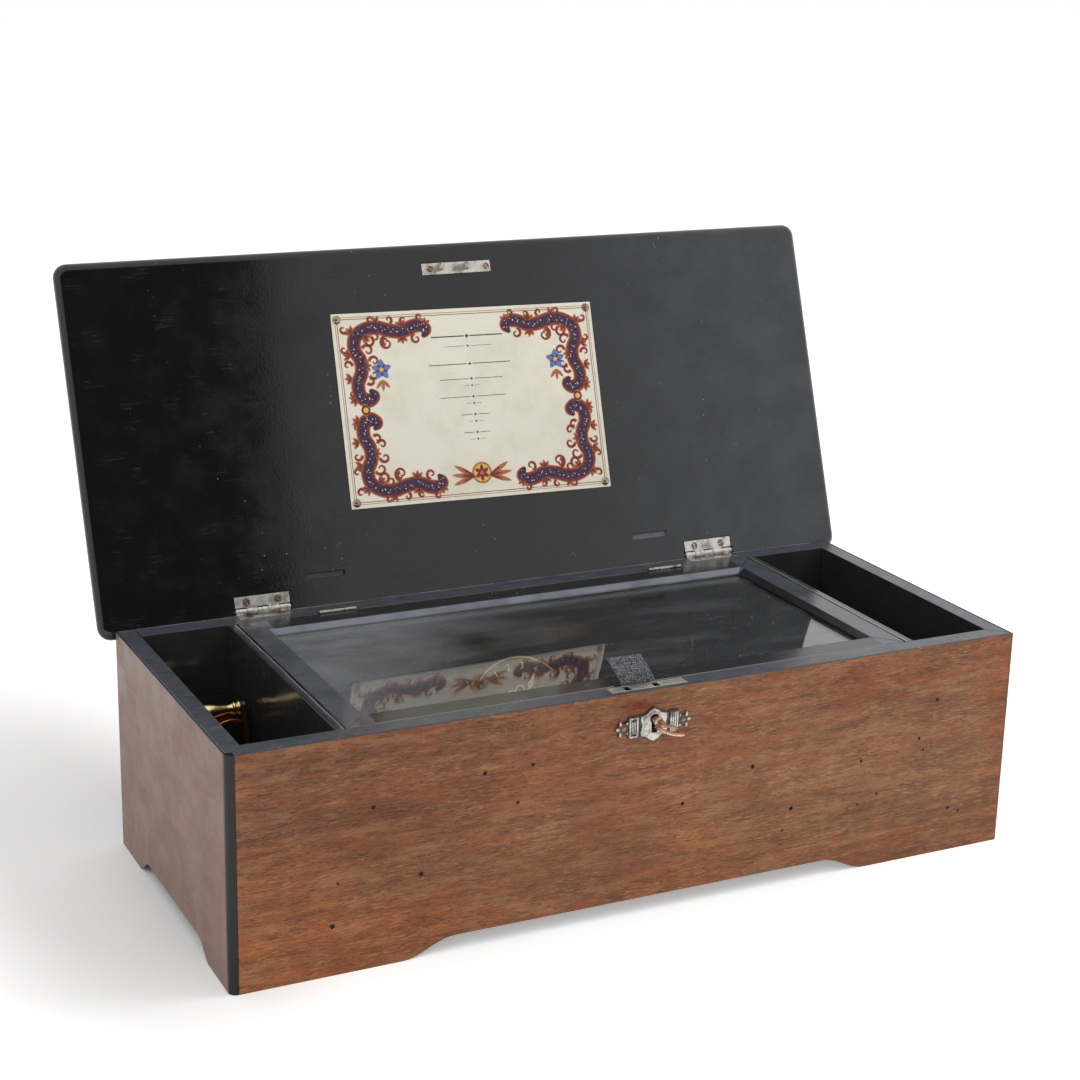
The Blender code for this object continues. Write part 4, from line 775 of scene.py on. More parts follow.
def partition_black(name, side):
    """A partition's lacquer: a painted sheen strip on its top, a worn arris, and a painted shadow line at the
    glass lid.
    """
    seam, arris, far = (side * (FRAME_HIGH[0] + room) for room in (0.1, 1.3, 4.2))
    # The pale strip is a painted sheen, and the near-black line at the seam is a painted shadow of the gap.
    zones = [(*box_of((arris + side * 0.6, far), DEPTH, (147.6, 149.0)), (0.046, 0.050, 0.060)),
             (*box_of((seam, arris), DEPTH, (147.0, 149.0)), (0.004, 0.004, 0.004))]
    return lacquer(name, colour=INSIDE_TONE, rough=(0.12, 0.24), dust=0.16, wear=1.2, worn=(0.30, 0.30, 0.29),
                   box=box_of((arris, side * FAR), DEPTH, (-50.0, CASE_HEIGHT)), zones=zones)


partition_blacks = {side + "_partition": partition_black(side + "_partition_black", way)
                    for side, way in (("left", -1), ("right", 1))}
FRAME_DEPTH = (FRAME_LOW[1] - 1.0, FRAME_HIGH[1] + 1.0)
# Painted sheen: the side rails and the back slope are painted lighter and bluish, standing for the bright
# room they mirror.
LEFT_RAIL_SHEEN = (*box_of((FRAME_LOW[0] - 1.0, FRAME_LOW[0] + RAIL + RAIL_SLOPE), FRAME_DEPTH, (146.5, 149.0)),
             (0.080, 0.084, 0.098))
RIGHT_RAIL_SHEEN = (*box_of((FRAME_HIGH[0] - RAIL, FRAME_HIGH[0] + 1.0), FRAME_DEPTH, (146.5, 149.0)),
              (0.060, 0.067, 0.088))
BACK_SLOPE_SHEEN = (*box_of((FRAME_LOW[0] + RAIL, FRAME_HIGH[0] - RAIL),
                      (FRAME_HIGH[1] - RAIL - RAIL_SLOPE, FRAME_HIGH[1] - RAIL), (143.0, 147.93)),
              (0.150, 0.158, 0.190))
# Painted shadow: near-black strips along the frame's outer edges stand for the dark seam gap.
SEAM_SHADOWS = [(*box_of((x, x + away), FRAME_DEPTH, (146.0, 149.0)), (0.003, 0.003, 0.003))
              for x, away in ((FRAME_LOW[0] - 0.2, 1.0), (FRAME_HIGH[0] + 0.2, -1.0))]
frame_black = lacquer("frame_black", "glass_lid", colour=(0.016, 0.0165, 0.018), rough=(0.14, 0.26),
                      dust=0.24, wear=1.2, box=FRAME_BOX, worn=(0.20, 0.19, 0.16),
                      zones=[LEFT_RAIL_SHEEN, RIGHT_RAIL_SHEEN, BACK_SLOPE_SHEEN] + SEAM_SHADOWS)
# Painted light: the glass hinges' pockets in the lid are painted lighter to take the shade out of them.
LID_POCKETS_LIT = [(*box_of((side * GLASS_HINGE_X - GLASS_HINGE_HALF, side * GLASS_HINGE_X + GLASS_HINGE_HALF),
                        (GLASS_HINGE_Y - 2.1, GLASS_HINGE_Y + 2.1), (LID_LOW + 0.12, LID_LOW + 3.7)),
                (tone, tone, 1.08 * tone)) for side, tone in ((-1, 0.022), (1, 0.12))]
# The lid's underside is painted lighter towards its right as a painted sheen of the room it mirrors.
lid_black = lacquer("lid_black", "lid", colour=(0.006, 0.006, 0.0065), rough=(0.06, 0.13), dust=0.15,
                    hairs=0.05, painted_sheen=((0.034, 0.037, 0.042), 0.0, 250.0), zones=LID_POCKETS_LIT)
string_black = lacquer("string_black", colour=(0.006, 0.006, 0.007), rough=(0.16, 0.28), dust=0.1, level=0.36)
nickel = metal("nickel", (0.66, 0.65, 0.62), (0.30, 0.27, 0.22))
nickel_lid = metal("nickel_lid", (0.66, 0.65, 0.62), (0.30, 0.27, 0.22), "lid")
aged_nickel = metal("aged_nickel", (0.44, 0.42, 0.38), (0.15, 0.13, 0.10), tarnish=1.0)
lock_nickel = metal("lock_nickel", (0.82, 0.79, 0.72), (0.44, 0.38, 0.32), rough=(0.30, 0.48), tarnish=0.7)
keeper_nickel = metal("keeper_nickel", (0.82, 0.79, 0.72), (0.40, 0.35, 0.29), "lid", rough=(0.30, 0.48),
                      tarnish=0.7)
cast_nickel = metal("cast_nickel", (0.66, 0.64, 0.59), (0.20, 0.18, 0.155), rough=(0.24, 0.42), depth=0.22,
                    tarnish=0.9, recess=PLATE_BACK - 1.25)
rust = metal("screw_rust", (0.34, 0.20, 0.15), (0.12, 0.065, 0.05), rough=(0.4, 0.6))
rust_lid = metal("screw_rust_lid", (0.34, 0.20, 0.15), (0.12, 0.065, 0.05), "lid", rough=(0.4, 0.6))
brass = metal("brass", (0.70, 0.48, 0.20), (0.34, 0.21, 0.08), rough=(0.20, 0.38))
brass_lid = metal("brass_lid", (0.42, 0.34, 0.22), (0.16, 0.12, 0.08), "lid", rough=(0.25, 0.45))
grip_brass = metal("grip_brass", (0.95, 0.74, 0.38), (0.58, 0.38, 0.15), rough=(0.12, 0.24), tarnish=0.6)
copper = metal("copper", (0.95, 0.34, 0.15), (0.46, 0.13, 0.06), rough=(0.24, 0.40))
key_copper = metal("key_copper", (0.66, 0.34, 0.23), (0.34, 0.15, 0.09), "key", rough=(0.28, 0.44),
                   depth=0.06, rubbed=((0.0, BOW_Y, KEY_Z), 9.0, (0.80, 0.78, 0.74)))
bronze = metal("bronze", (0.34, 0.19, 0.11), (0.14, 0.07, 0.04), rough=(0.30, 0.46))
steel = metal("steel", (0.52, 0.52, 0.54), (0.26, 0.25, 0.24), rough=(0.16, 0.32))
enamel = lacquer("dial_enamel", colour=(0.050, 0.048, 0.030), rough=(0.12, 0.22), dust=0.3)


def gilt(name):
    """Gilt line and hand: bright, with the gold rubbed thin in places."""
    made = Finish(name, Metallic=0.40, Roughness=0.36)
    rubbed = made.fade(made.noise(made.point, 0.9, 3.0, 0.7), 0.45, 0.75, 0.0, 0.5)
    return made.set(Base_Color=made.mix(rubbed, (0.98, 0.80, 0.42), (0.66, 0.47, 0.19)))


gold = gilt("gold_leaf")


def pine(name):
    """Bare softwood: the same grain, pale and dry."""
    made = Finish(name, Roughness=0.75)
    grain = made.use(WALNUT_GRAIN, Point=made.point)
    colour = made.mix(0.78, grain["Color"], (0.50, 0.34, 0.18))
    made.bump(grain["Height"], 0.08)
    return made.set(Base_Color=colour)


def leather(name):
    """Pebbled leather: raised cells, paler on their tops, with dark creases between."""
    made = Finish(name, "glass_lid")
    warp = made.vector("ADD", made.point, made.noise(made.point, 0.8, 2.0, output=1))
    edge = made.cells(warp, 0.62, "DISTANCE_TO_EDGE")
    top = made.fade(edge, 0.03, 0.20)
    fleck = made.noise(made.point, 1.3, 3.0, 0.7)
    colour = made.mix(made.fade(fleck, 0.38, 0.62), (0.070, 0.075, 0.085), (0.255, 0.262, 0.285))
    colour = made.tint(colour, made.minus(1.0, top), 0.88, (0.012, 0.012, 0.014))
    made.bump(made.plus(top, made.times(fleck, 0.4)), 0.30)
    return made.set(Base_Color=colour, Roughness=0.60)


def card_paper(name):
    """Old cream card: faint mottling, a few brown stains, and edges toned by age."""
    made = Finish(name, "lid", Specular_IOR_Level=0.25)
    slow = made.fade(made.noise(made.point, 0.035, 5.0, 0.6), 0.40, 0.70)
    colour = made.mix(made.times(slow, 0.55), (0.73, 0.69, 0.585), (0.60, 0.555, 0.45))
    fine = made.noise(made.point, 1.2, 4.0, 0.6)
    colour = made.mix(made.fade(fine, 0.4, 0.75, 0.0, 0.32), colour, (0.50, 0.45, 0.36))
    for centre, reach in (((33.0, -57.5, CARD_FACE), 3.6), ((-78.0, 40.0, CARD_FACE), 2.2)):
        mask = made.use(CHIP, Point=made.point, Centre=centre, Reach=reach)["Mask"]
        colour = made.tint(colour, mask, 0.45, (0.45, 0.27, 0.10))
    low = (-CARD_WIDTH / 2, CARD_Y - CARD_HEIGHT / 2, CARD_FACE - 60.0)
    high = (CARD_WIDTH / 2, CARD_Y + CARD_HEIGHT / 2, CARD_FACE + 60.0)
    edge = made.use(WORN_EDGES, Point=made.point, Low=low, High=high, Width=3.0)["Mask"]
    colour = made.tint(colour, edge, 0.5, (0.36, 0.25, 0.13))
    made.bump(fine, 0.02)
    return made.set(Base_Color=colour, Roughness=0.48)


def ink(name, colour):
    """Printed colour, a little uneven and rubbed."""
    made = Finish(name, "lid", Roughness=0.5, Specular_IOR_Level=0.25)
    rubbed = made.fade(made.noise(made.point, 0.8, 4.0, 0.7), 0.45, 0.80, 0.0, 0.45)
    return made.set(Base_Color=made.mix(rubbed, colour, tuple(0.5 * c + 0.22 for c in colour)))


def glass(name):
    """Old window glass: clear, with faint waves."""
    made = Finish(name, "glass_lid", Metallic=0.0, Transmission_Weight=1.0, IOR=1.52, Roughness=0.0)
    made.bump(made.noise(made.point, 0.012, 2.0), 0.10)
    tone = made.fade(made.noise(made.point, 0.02, 3.0), 0.3, 0.7)
    return made.set(Base_Color=made.mix(tone, (0.86, 0.88, 0.84), (0.92, 0.94, 0.90)))


def dust_film(name):
    """A film of dust on the glass: thick to the left, wiped in streaks and blots, with a few crumbs."""
    made = Finish(name, "glass_lid", Roughness=0.7, Specular_IOR_Level=0.2)
    point = made.point
    x, y, _ = made.split(point)
    bend = made.times(made.noise(point, 0.012, 3.0), 90.0)
    across = made.minus(made.plus(x, bend), made.times(y, 0.8))
    thick = made.fade(across, -130.0, 10.0, 0.255, 0.022)
    smear = made.noise(made.stretched(point, 0.5, 1.0, 1.0), 0.045, 5.0, 0.62)
    veil = made.times(thick, made.fade(smear, 0.34, 0.66, 0.86, 1.12))
    for centre, reach, change in (((-62.0, 18.0, 144.0), 34.0, -0.055), ((-14.0, 24.0, 144.0), 40.0, 0.030)):
        away = made.plus(made.distance(point, centre), made.times(made.noise(point, 0.06, 4.0, 0.6), 18.0))
        veil = made.plus(veil, made.times(made.fade(away, 14.0, reach, 1.0, 0.0), change))
    smudge = made.noise(made.stretched(point, 0.28, 1.0, 1.0), 0.05, 5.0, 0.65)
    veil = made.greater(made.plus(veil, made.fade(smudge, 0.46, 0.66, 0.0, 0.045)), 0.0)
    wiped = made.add("Mapping", {"Vector": point, "Rotation": (0.0, 0.0, 0.16), "Scale": (0.02, 1.0, 1.0)})
    streak = made.fade(made.noise(wiped, 0.9, 2.0), 0.62, 0.72)
    streak = made.times(streak, made.fade(made.noise(point, 0.02, 2.0), 0.45, 0.6))
    veil = made.plus(veil, made.times(streak, 0.10))
    crumb = made.use(DUST, Point=point, Scale=0.27, Amount=0.19)["Mask"]
    veil = made.greater(veil, made.times(crumb, 0.75))
    colour = made.mix(crumb, (0.46, 0.47, 0.50), (0.72, 0.70, 0.66))
    return made.set(Base_Color=colour, Alpha=veil)


bare_pine = pine("pine")
tab_leather = leather("tab_leather")
cream_card = card_paper("cream_card")
window_glass = glass("window_glass")
glass_dust = dust_film("glass_dust")
INKS = {name: ink("ink_" + name, colour) for name, colour in {
    "ochre": (0.40, 0.13, 0.05), "maroon": (0.17, 0.028, 0.022), "purple": (0.045, 0.018, 0.050),
    "cream": (0.80, 0.74, 0.66), "yellow": (0.66, 0.42, 0.10), "blue": (0.09, 0.17, 0.42),
    "grey": (0.045, 0.045, 0.045), "line": (0.22, 0.07, 0.05)}.items()}


# Case and lid


def worm_holes():
    """Short tapered holes in the front's veneer, open in front."""
    front, end = -HALF_D - 2.0, -HALF_D + 0.85
    return merged(*(turned([(0.0, front), (radius, front), (0.9 * radius, end), (0.0, end)], "y", (x, z), 9)
                    for x, z, radius in WORM_HOLES))


dressed("front_veneer", front_walnut, 0.25, holes=worm_holes())
dressed("left_end_veneer", left_walnut, 0.25)
dressed("right_end_veneer", right_walnut, 0.25)
dressed("corner_string", string_black, 0.0)
for board in ("case_front", "case_back", "case_left_end", "case_right_end"):
    dressed(board, rim_black, 0.45)
for board, partition_finish in partition_blacks.items():
    dressed(board, partition_finish, 0.4)
dressed("lid_panel", lid_black, 0.3)
dressed("lid_veneer", lid_walnut, 0.2)
painted(["case_floor"], bare_pine)


# Glass lid

for rail in ("frame_front_rail", "frame_back_rail", "frame_left_rail", "frame_right_rail"):
    dressed(rail, frame_black, 0.5)
dressed("glass_bead", frame_black, 0.3)
painted(["glass_pane"], window_glass)


def film_on_glass():
    """A flat sheet a hair above the pane that carries the dust."""
    low, high = in_case(*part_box("glass_pane"))
    u, v = np.meshgrid(np.linspace(low[0] + 0.2, high[0] - 0.2, 9),
                       np.linspace(low[1] + 0.2, high[1] - 0.2, 7), indexing="ij")
    sheet = np.stack((u, v, np.full(u.shape, high[2] + 0.08)), -1)
    piece("glass_dust", grid(sheet), glass_dust, "glass_lid", weld=False)


film_on_glass()


def rounded_strip(half, thick, steps=3):
    """A flat strip's section, with half-round sides."""
    r = thick / 2
    ends = [arc((half - r, 0.0), r, -90, 90, 2 * steps), arc((r - half, 0.0), r, 90, 270, 2 * steps)]
    return np.vstack(ends)


def leather_tab():
    """A strip's section carried up a bent line, rippling a little across its width more towards its end, and
    cut square at the top.
    """
    root = CASE_HEIGHT - 6.8
    base_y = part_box("frame_front_rail")[0].y / MM - SET_BACK + 1.3
    path = smooth_line([(TAB_X, base_y, root), (TAB_X, base_y, CASE_HEIGHT + 0.6),
                        (TAB_X - 2.1, base_y + 1.2, 153.6), (TAB_X - 4.7, base_y + 3.2, 159.0),
                        (TAB_X - 7.2, base_y + 5.9, 163.9)], 6)
    section = rounded_strip(TAB_HALF, TAB_THICK)
    share = np.linspace(0, 1, len(path))[:, None]
    ripple = 0.35 * np.sin(section[:, 0] / 3.4)[None] * share
    points = np.stack((path[:, :1] + section[:, 0], path[:, 1:2] + section[:, 1] + ripple,
                       path[:, 2:] + 0.25 * np.sin(section[:, 0] / 2.1)[None] * share), -1)
    shape = grid(points, wrap_columns=True, caps=True)
    made = piece("leather_tab", shape, tab_leather, "glass_lid",
                 replaced=("pull_tab",), angle=60.0)
    anchor = at_rest([(TAB_X, base_y, CASE_HEIGHT)], "case")[0]
    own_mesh(made)


leather_tab()


# Screws, hinges, lock

def slotted_head(axis, spot, level, out, radius, turn):
    """A screw's head: two half rounds on a disc, with the slot between them."""
    half_slot = 0.13 * radius + 0.12
    start = math.degrees(math.asin(half_slot / radius))
    shapes = []
    for side in (0.0, 180.0):
        outline = arc((0.0, 0.0), radius, side + start, side + 180 - start, 9)
        angle = math.radians(turn)
        a = spot[0] + outline[:, 0] * math.cos(angle) - outline[:, 1] * math.sin(angle)
        b = spot[1] + outline[:, 0] * math.sin(angle) + outline[:, 1] * math.cos(angle)
        shapes.append(prism(np.stack((a, b), -1), axis, level - 0.35 * out, level + 0.13 * out))
    disc = arc(spot, radius * 0.97, 0, 340, 17)
    shapes.append(prism(disc, axis, level - 0.45 * out, level - 0.25 * out))
    return merged(*shapes)


HINGE_SPOTS = (-0.29 * HINGE_LENGTH, 0.29 * HINGE_LENGTH)
turns = iter((20, -35, 62, 8, -70, 40, 80, -15))
for side, centre in (("left", -HINGE_X), ("right", HINGE_X)):
    dressed(side + "_hinge_case_leaf", nickel, 0.2)
    dressed(side + "_hinge_lid_leaf", nickel_lid, 0.2)
    for body, level, out, finish in (("case", CASE_HEIGHT, 1, rust), ("lid", LID_LOW, -1, rust_lid)):
        heads = [slotted_head("z", (centre + x, HINGE_SCREW_Y), level, out, HINGE_SCREW_RADIUS, next(turns))
                 for x in HINGE_SPOTS]
        piece(f"{side}_hinge_{body}_screws", merged(*heads), finish, body, 0.12)
    for owner in ("case", "frame"):
        dressed(f"{side}_glass_hinge_{owner}_leaf", aged_nickel, 0.12)
dressed("lock_plate", lock_nickel, 0.25)
dressed("keeper_plate", keeper_nickel, 0.35)


def engraved_frame():
    """A narrow raised frame on the lock plate's right half: four bars in a long rectangle."""
    left, right, front, rear = LOCK_X + 9.5, LOCK_X + LOCK_HALF - 2.0, LOCK_Y - 1.6, LOCK_Y + 1.6
    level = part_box("lock_plate")[1].z / MM
    bar = 0.45
    bars = [(left, right, front, front + bar), (left, right, rear - bar, rear),
            (left, left + bar, front, rear), (right - bar, right, front, rear)]
    shapes = [prism([(a, c), (b, c), (b, d), (a, d)], "z", level - 0.1, level + 0.12) for a, b, c, d in bars]
    piece("lock_plate_frame", merged(*shapes), rust, "case")


engraved_frame()
for name, finish, places in (("keeper_screws", rust_lid, (0, 2)), ("keeper_middle_screw", nickel_lid, (1,))):
    heads = [slotted_head("z", (KEEPER_SCREWS_X[i], LOCK_Y), LID_LOW, -1, KEEPER_SCREW_RADIUS,
                          30.0 - 75.0 * i) for i in places]
    piece(name, merged(*heads), finish, "lid", 0.12)


def keyhole_outline(room):
    """A round hole with a slot below it."""
    radius = 2.9 + room
    slot = 1.7 + room
    start = math.degrees(math.asin(slot / radius))
    top = arc((0.0, KEY_Z), radius, -90 + start, 270 - start, 16)
    return np.vstack((top, [(-slot, KEY_Z - 8.6 - room), (slot, KEY_Z - 8.6 - room)]))


def escutcheon():
    """A cast plate: a shield, a framed block on its left, a ribbed one on its right, leaves at its ends."""
    back = PLATE_BACK
    half = [(0.0, 11.2), (3.0, 10.0), (5.2, 8.0), (9.2, 7.0), (10.2, 6.2), (10.6, 7.3), (17.4, 7.3),
            (17.6, 3.4), (18.6, 2.2), (19.2, 3.4), (22.0, 3.4), (22.8, 2.0), (23.6, 2.6), (24.6, 1.2),
            (25.4, 0.0)]
    right = half + [(x, -z) for x, z in reversed(half[:-1])]
    full = np.array(right + [(-x, z) for x, z in reversed(right[1:-1])]) + (0.0, PLATE_Z)
    shield = [(0.0, 10.5), (2.9, 9.2), (5.1, 7.3), (8.9, 6.3), (9.1, 4.0), (8.2, 0.0)]
    shield = shield + [(x, -z) for x, z in reversed(shield[:-1])]
    shield = np.array(shield + [(-x, z) for x, z in reversed(shield[1:-1])])
    shapes = [prism(full, "y", back - 1.1, back), prism(shield + (0.0, PLATE_Z), "y", back - 1.7, back - 0.6),
              prism(shield * (0.78, 0.82) + (0.0, PLATE_Z), "y", back - 2.0, back - 0.6),
              prism(keyhole_outline(1.5), "y", back - 2.4, back - 0.8)]
    bars = [(x, 0.0, 0.52, 6.3, 2.0) for x in (11.7, 13.2, 14.7, 16.2)]
    bars += [(x, 0.0, 0.55, 6.4, 2.0) for x in (-11.5, -16.5)]
    bars += [(-14.0, z, 2.6, 0.55, 2.0) for z in (5.9, -5.9)]
    bars += [(x, 0.0, 0.32, 4.2, 1.8) for x in (-15.1, -14.0, -12.9)]
    for x, z, wide, tall, thick in bars:
        low, high = PLATE_Z + z - tall, PLATE_Z + z + tall
        outline = [(x - wide, low), (x + wide, low), (x + wide, high), (x - wide, high)]
        shapes.append(prism(outline, "y", back - thick, back - 0.5))
    leaves = [(24.6, 0.0, 1.6, 1.3)] + [(22.9, z, 1.0, 2.0) for z in (3.4, -3.4)]
    leaves += [(18.3, z, 0.9, 1.1) for z in (3.2, -3.2)]
    shapes += [dome("y", (side * x, PLATE_Z + z), back - 0.6, -1.3, wide, tall) for side in (-1, 1)
               for x, z, wide, tall in leaves]
    made = piece("escutcheon_casting", merged(*shapes), cast_nickel, "case",
                 replaced=("escutcheon",))
    made.modifiers.clear()
    carve(made, prism(keyhole_outline(0.2), "y", back - 6, back + 3))
    finish_edges(made, 0.18)
    heads = [dome("y", (x, PLATE_Z), back - 1.1, -1.0, 1.75, 1.75) for x in (-20.6, 20.6)]
    piece("escutcheon_screws", merged(*heads), rust, "case", angle=60.0)


def ornate_key():
    """A turned stem with collars, a flat bit, and a ring for a bow; the ring's section is a squared oval."""
    profile = [(0.0, -100.9), (2.1, -100.9), (2.1, -118.2), (2.6, -118.6), (3.0, -119.2), (3.0, -120.4),
               (2.6, -121.0), (2.1, -121.4), (1.9, -122.6), (2.2, -123.6), (2.1, -124.6), (1.8, -127.0),
               (0.0, -127.4)]
    stem = turned(profile, "y", (0.0, KEY_Z), 20)
    around = np.linspace(0, 2 * math.pi, 64, endpoint=False)[:, None]
    across = np.linspace(0, 2 * math.pi, 16, endpoint=False)
    reach = 7.8 + 1.7 * np.sign(np.cos(across)) * np.abs(np.cos(across)) ** 0.6
    height = 0.9 * np.sign(np.sin(across)) * np.abs(np.sin(across)) ** 0.6
    ring = np.stack((reach * np.sin(around), BOW_Y + reach * np.cos(around), KEY_Z + height + 0 * around), -1)
    bit = prism([(0.5, -102.9), (7.0, -102.9), (7.0, -101.1), (0.5, -101.1)], "z", KEY_Z - 0.9, KEY_Z + 0.9)
    shape = merged(stem, grid(ring, wrap_rows=True, wrap_columns=True), bit)
    piece("ornate_key", shape, key_copper, "key", replaced=("key",), angle=50.0)


escutcheon()
ornate_key()
painted(["lock_case"], steel)
painted(["lock_bolt"], brass)


# Tune card

def on_card(flat, lift):
    """Points on the card, right and up as seen with the lid open, to case millimetres with the lid shut."""
    flat = np.asarray(flat, float)
    points = np.stack((flat[..., 0], CARD_Y - flat[..., 1], np.full(flat.shape[:-1], CARD_FACE - lift)), -1)
    return turn_about(points, "z", CARD_TURN, (0.0, CARD_Y, 0.0))


def ribbon(path, width, lift):
    """A flat strip along a path on the card."""
    return grid(on_card(np.stack(both_sides(path, width)), lift))


def patch(outline, lift):
    """A flat patch on the card; its outline runs anticlockwise as seen."""
    points = on_card(outline, lift)
    return points, [list(range(len(points)))]


def spiral(centre, start, turns_round, outer, inner, steps=26):
    """A curl: its radius shrinks evenly as it turns."""
    share = np.linspace(0, 1, steps)
    angle = math.radians(start) + share * turns_round * 2 * math.pi
    radius = outer + (inner - outer) * share
    return np.stack((centre[0] + radius * np.cos(angle), centre[1] + radius * np.sin(angle)), -1)


def mirrored(shape_of):
    """The same motif in each quarter of the card."""
    return merged(*(shape_of(x, y) for x, y in QUARTERS))


def flipped(path, x, y):
    """A path in one quarter of the card; mirrored once it runs backwards, so that it still faces out."""
    return in_order(np.asarray(path, float) * (x, y), x, y)


def in_order(values, x, y):
    """Values along a path, in the order in which flipped() leaves the path."""
    return values[::-1] if x * y < 0 else values


def printed(name, ink_name, shapes):
    """Flat shapes on the card as one piece of its print."""
    piece("card_" + name, merged(*shapes), INKS[ink_name], "lid", weld=False)


QUARTERS = [(x, y) for x in (1, -1) for y in (1, -1)]
BAND = smooth_line([(33.0, 47.5), (30.5, 52.0), (33.5, 56.0), (40.0, 55.5), (48.0, 52.5), (57.0, 53.5),
                    (66.0, 56.0), (75.0, 55.0), (82.5, 50.0), (84.0, 41.5), (80.5, 34.0), (80.5, 26.0),
                    (84.0, 18.0), (83.0, 9.5), (77.5, 6.5), (73.5, 10.0), (76.0, 14.0)], 9)
TAPER = np.clip(np.minimum(np.linspace(0.15, 12, len(BAND)), np.linspace(12, 0.15, len(BAND))), 0.0, 1.0)
CURLS = [((60.0, 45.0), 95.0, -1.15, 5.2, 0.9), ((38.0, 47.0), 80.0, -1.05, 3.8, 0.7),
         ((73.0, 46.5), 110.0, 1.0, 4.0, 0.7), ((70.5, 33.0), 0.0, 1.0, 3.8, 0.7),
         ((71.5, 24.0), 350.0, -1.0, 3.4, 0.6), ((91.5, 42.0), 190.0, 0.9, 3.0, 0.6),
         ((57.0, 61.0), 260.0, -0.9, 2.8, 0.5), ((70.0, 62.0), 250.0, 0.9, 2.8, 0.5),
         ((34.0, 62.0), 280.0, 0.9, 2.6, 0.5), ((60.5, 46.5), 275.0, 0.8, 2.8, 0.6),
         ((46.0, 60.6), 250.0, 0.80, 3.2, 0.6), ((74.5, 40.5), 20.0, 0.95, 4.4, 0.9),
         ((90.0, 31.0), 190.0, -0.85, 3.4, 0.7), ((68.5, 49.2), 60.0, 0.75, 3.6, 0.7),
         ((90.5, 56.0), 215.0, 0.80, 3.2, 0.6), ((88.5, 12.0), 170.0, 0.80, 3.0, 0.6),
         ((74.5, 20.0), 330.0, -0.85, 3.2, 0.6)]
LEAVES = [(31.0, 56.0, 100.0), (48.0, 56.0, 80.0), (66.0, 59.0, 60.0), (84.5, 53.0, 40.0),
          (87.5, 37.0, 20.0), (78.0, 30.0, 175.0), (88.0, 22.0, 0.0), (48.5, 49.0, 265.0),
          (76.0, 50.5, 225.0), (86.5, 8.0, 330.0)]


def tune_card():
    """The card: a thin sheet, its print in layers of flat colour, and a tack in each corner."""
    wide, tall = CARD_WIDTH / 2, CARD_HEIGHT / 2
    columns, rows = 25, 17
    u, v = np.meshgrid(np.linspace(-wide, wide, columns), np.linspace(-tall, tall, rows), indexing="ij")
    front = on_card(np.stack((u, v), -1), 0.0)
    index = np.arange(columns * rows).reshape(columns, rows)
    rim = np.concatenate((index[:, 0], index[-1, 1:], index[-2::-1, -1], index[0, -2:0:-1])).tolist()
    behind = columns * rows
    sides = [[a, b, b + behind, a + behind] for a, b in zip(rim, rim[1:] + rim[:1])]
    points, faces = merged(grid(front), grid(front + (0.0, 0.0, CARD_THICK)))
    piece("tune_card_sheet", (points, faces + sides), cream_card, "lid", replaced=("tune_card",))
    for inset, width in ((2.6, 0.35), (4.0, 0.55)):
        a, b = wide - inset, tall - inset
        lines = [[(-a, b), (a, b)], [(a, b), (a, -b)], [(a, -b), (-a, -b)], [(-a, -b), (-a, b)]]
        shapes = [ribbon(np.linspace(*line, 12), width, 0.02) for line in lines]
        printed(f"border_{width:.2f}".replace(".", "_"), "line", shapes)
    for name, width, lift, extra in (("ochre", 9.4, 0.03, 0.8), ("maroon", 8.6, 0.05, 0.1),
                                     ("purple", 6.0, 0.07, 0.0)):
        widths = width * TAPER + extra
        scroll = mirrored(lambda x, y: ribbon(flipped(BAND, x, y), in_order(widths, x, y), lift))
        printed("scroll_" + name, name, [scroll])
    for name, colour, part, widths, lift in (("curls", "ochre", slice(None), (2.6, 0.9), 0.04),
                                             ("curl_veins", "maroon", slice(1, -2), (1.5, 0.4), 0.06)):
        curls = []
        for curl in CURLS:
            path = spiral(*curl)[part]
            width = np.linspace(*widths, len(path))
            curls.append(mirrored(lambda x, y: ribbon(flipped(path, x, y), in_order(width, x, y), lift)))
        printed(name, colour, curls)
    card_dots()
    card_flowers()
    card_dividers()
    tacks()


def card_dots():
    """Small cream and yellow dots scattered along the dark band."""
    for name, step, phase in (("cream", 3, 0), ("yellow", 7, 3)):
        dots = []
        for quarter in QUARTERS:
            centres = BAND[8 + phase:-8:step] * quarter
            centres = centres + rng.uniform(-1.9, 1.9, centres.shape)
            dots += [patch(arc(spot, rng.uniform(0.28, 0.48), 0, 300, 5), 0.09) for spot in centres]
        printed("dots_" + name, name, dots)


def petal(root, angle, length, width, lift):
    """A leaf shape: its half width is a sine of the way along it."""
    share = np.linspace(0.02, 0.98, 9)
    half = width / 2 * np.sin(math.pi * share) ** 0.8
    along = np.stack((np.cos(angle) * share, np.sin(angle) * share), -1) * length + root
    across = np.array((-math.sin(angle), math.cos(angle)))
    left = along + half[:, None] * across
    right = along - half[:, None] * across
    return patch(np.vstack((right, left[::-1])), lift)


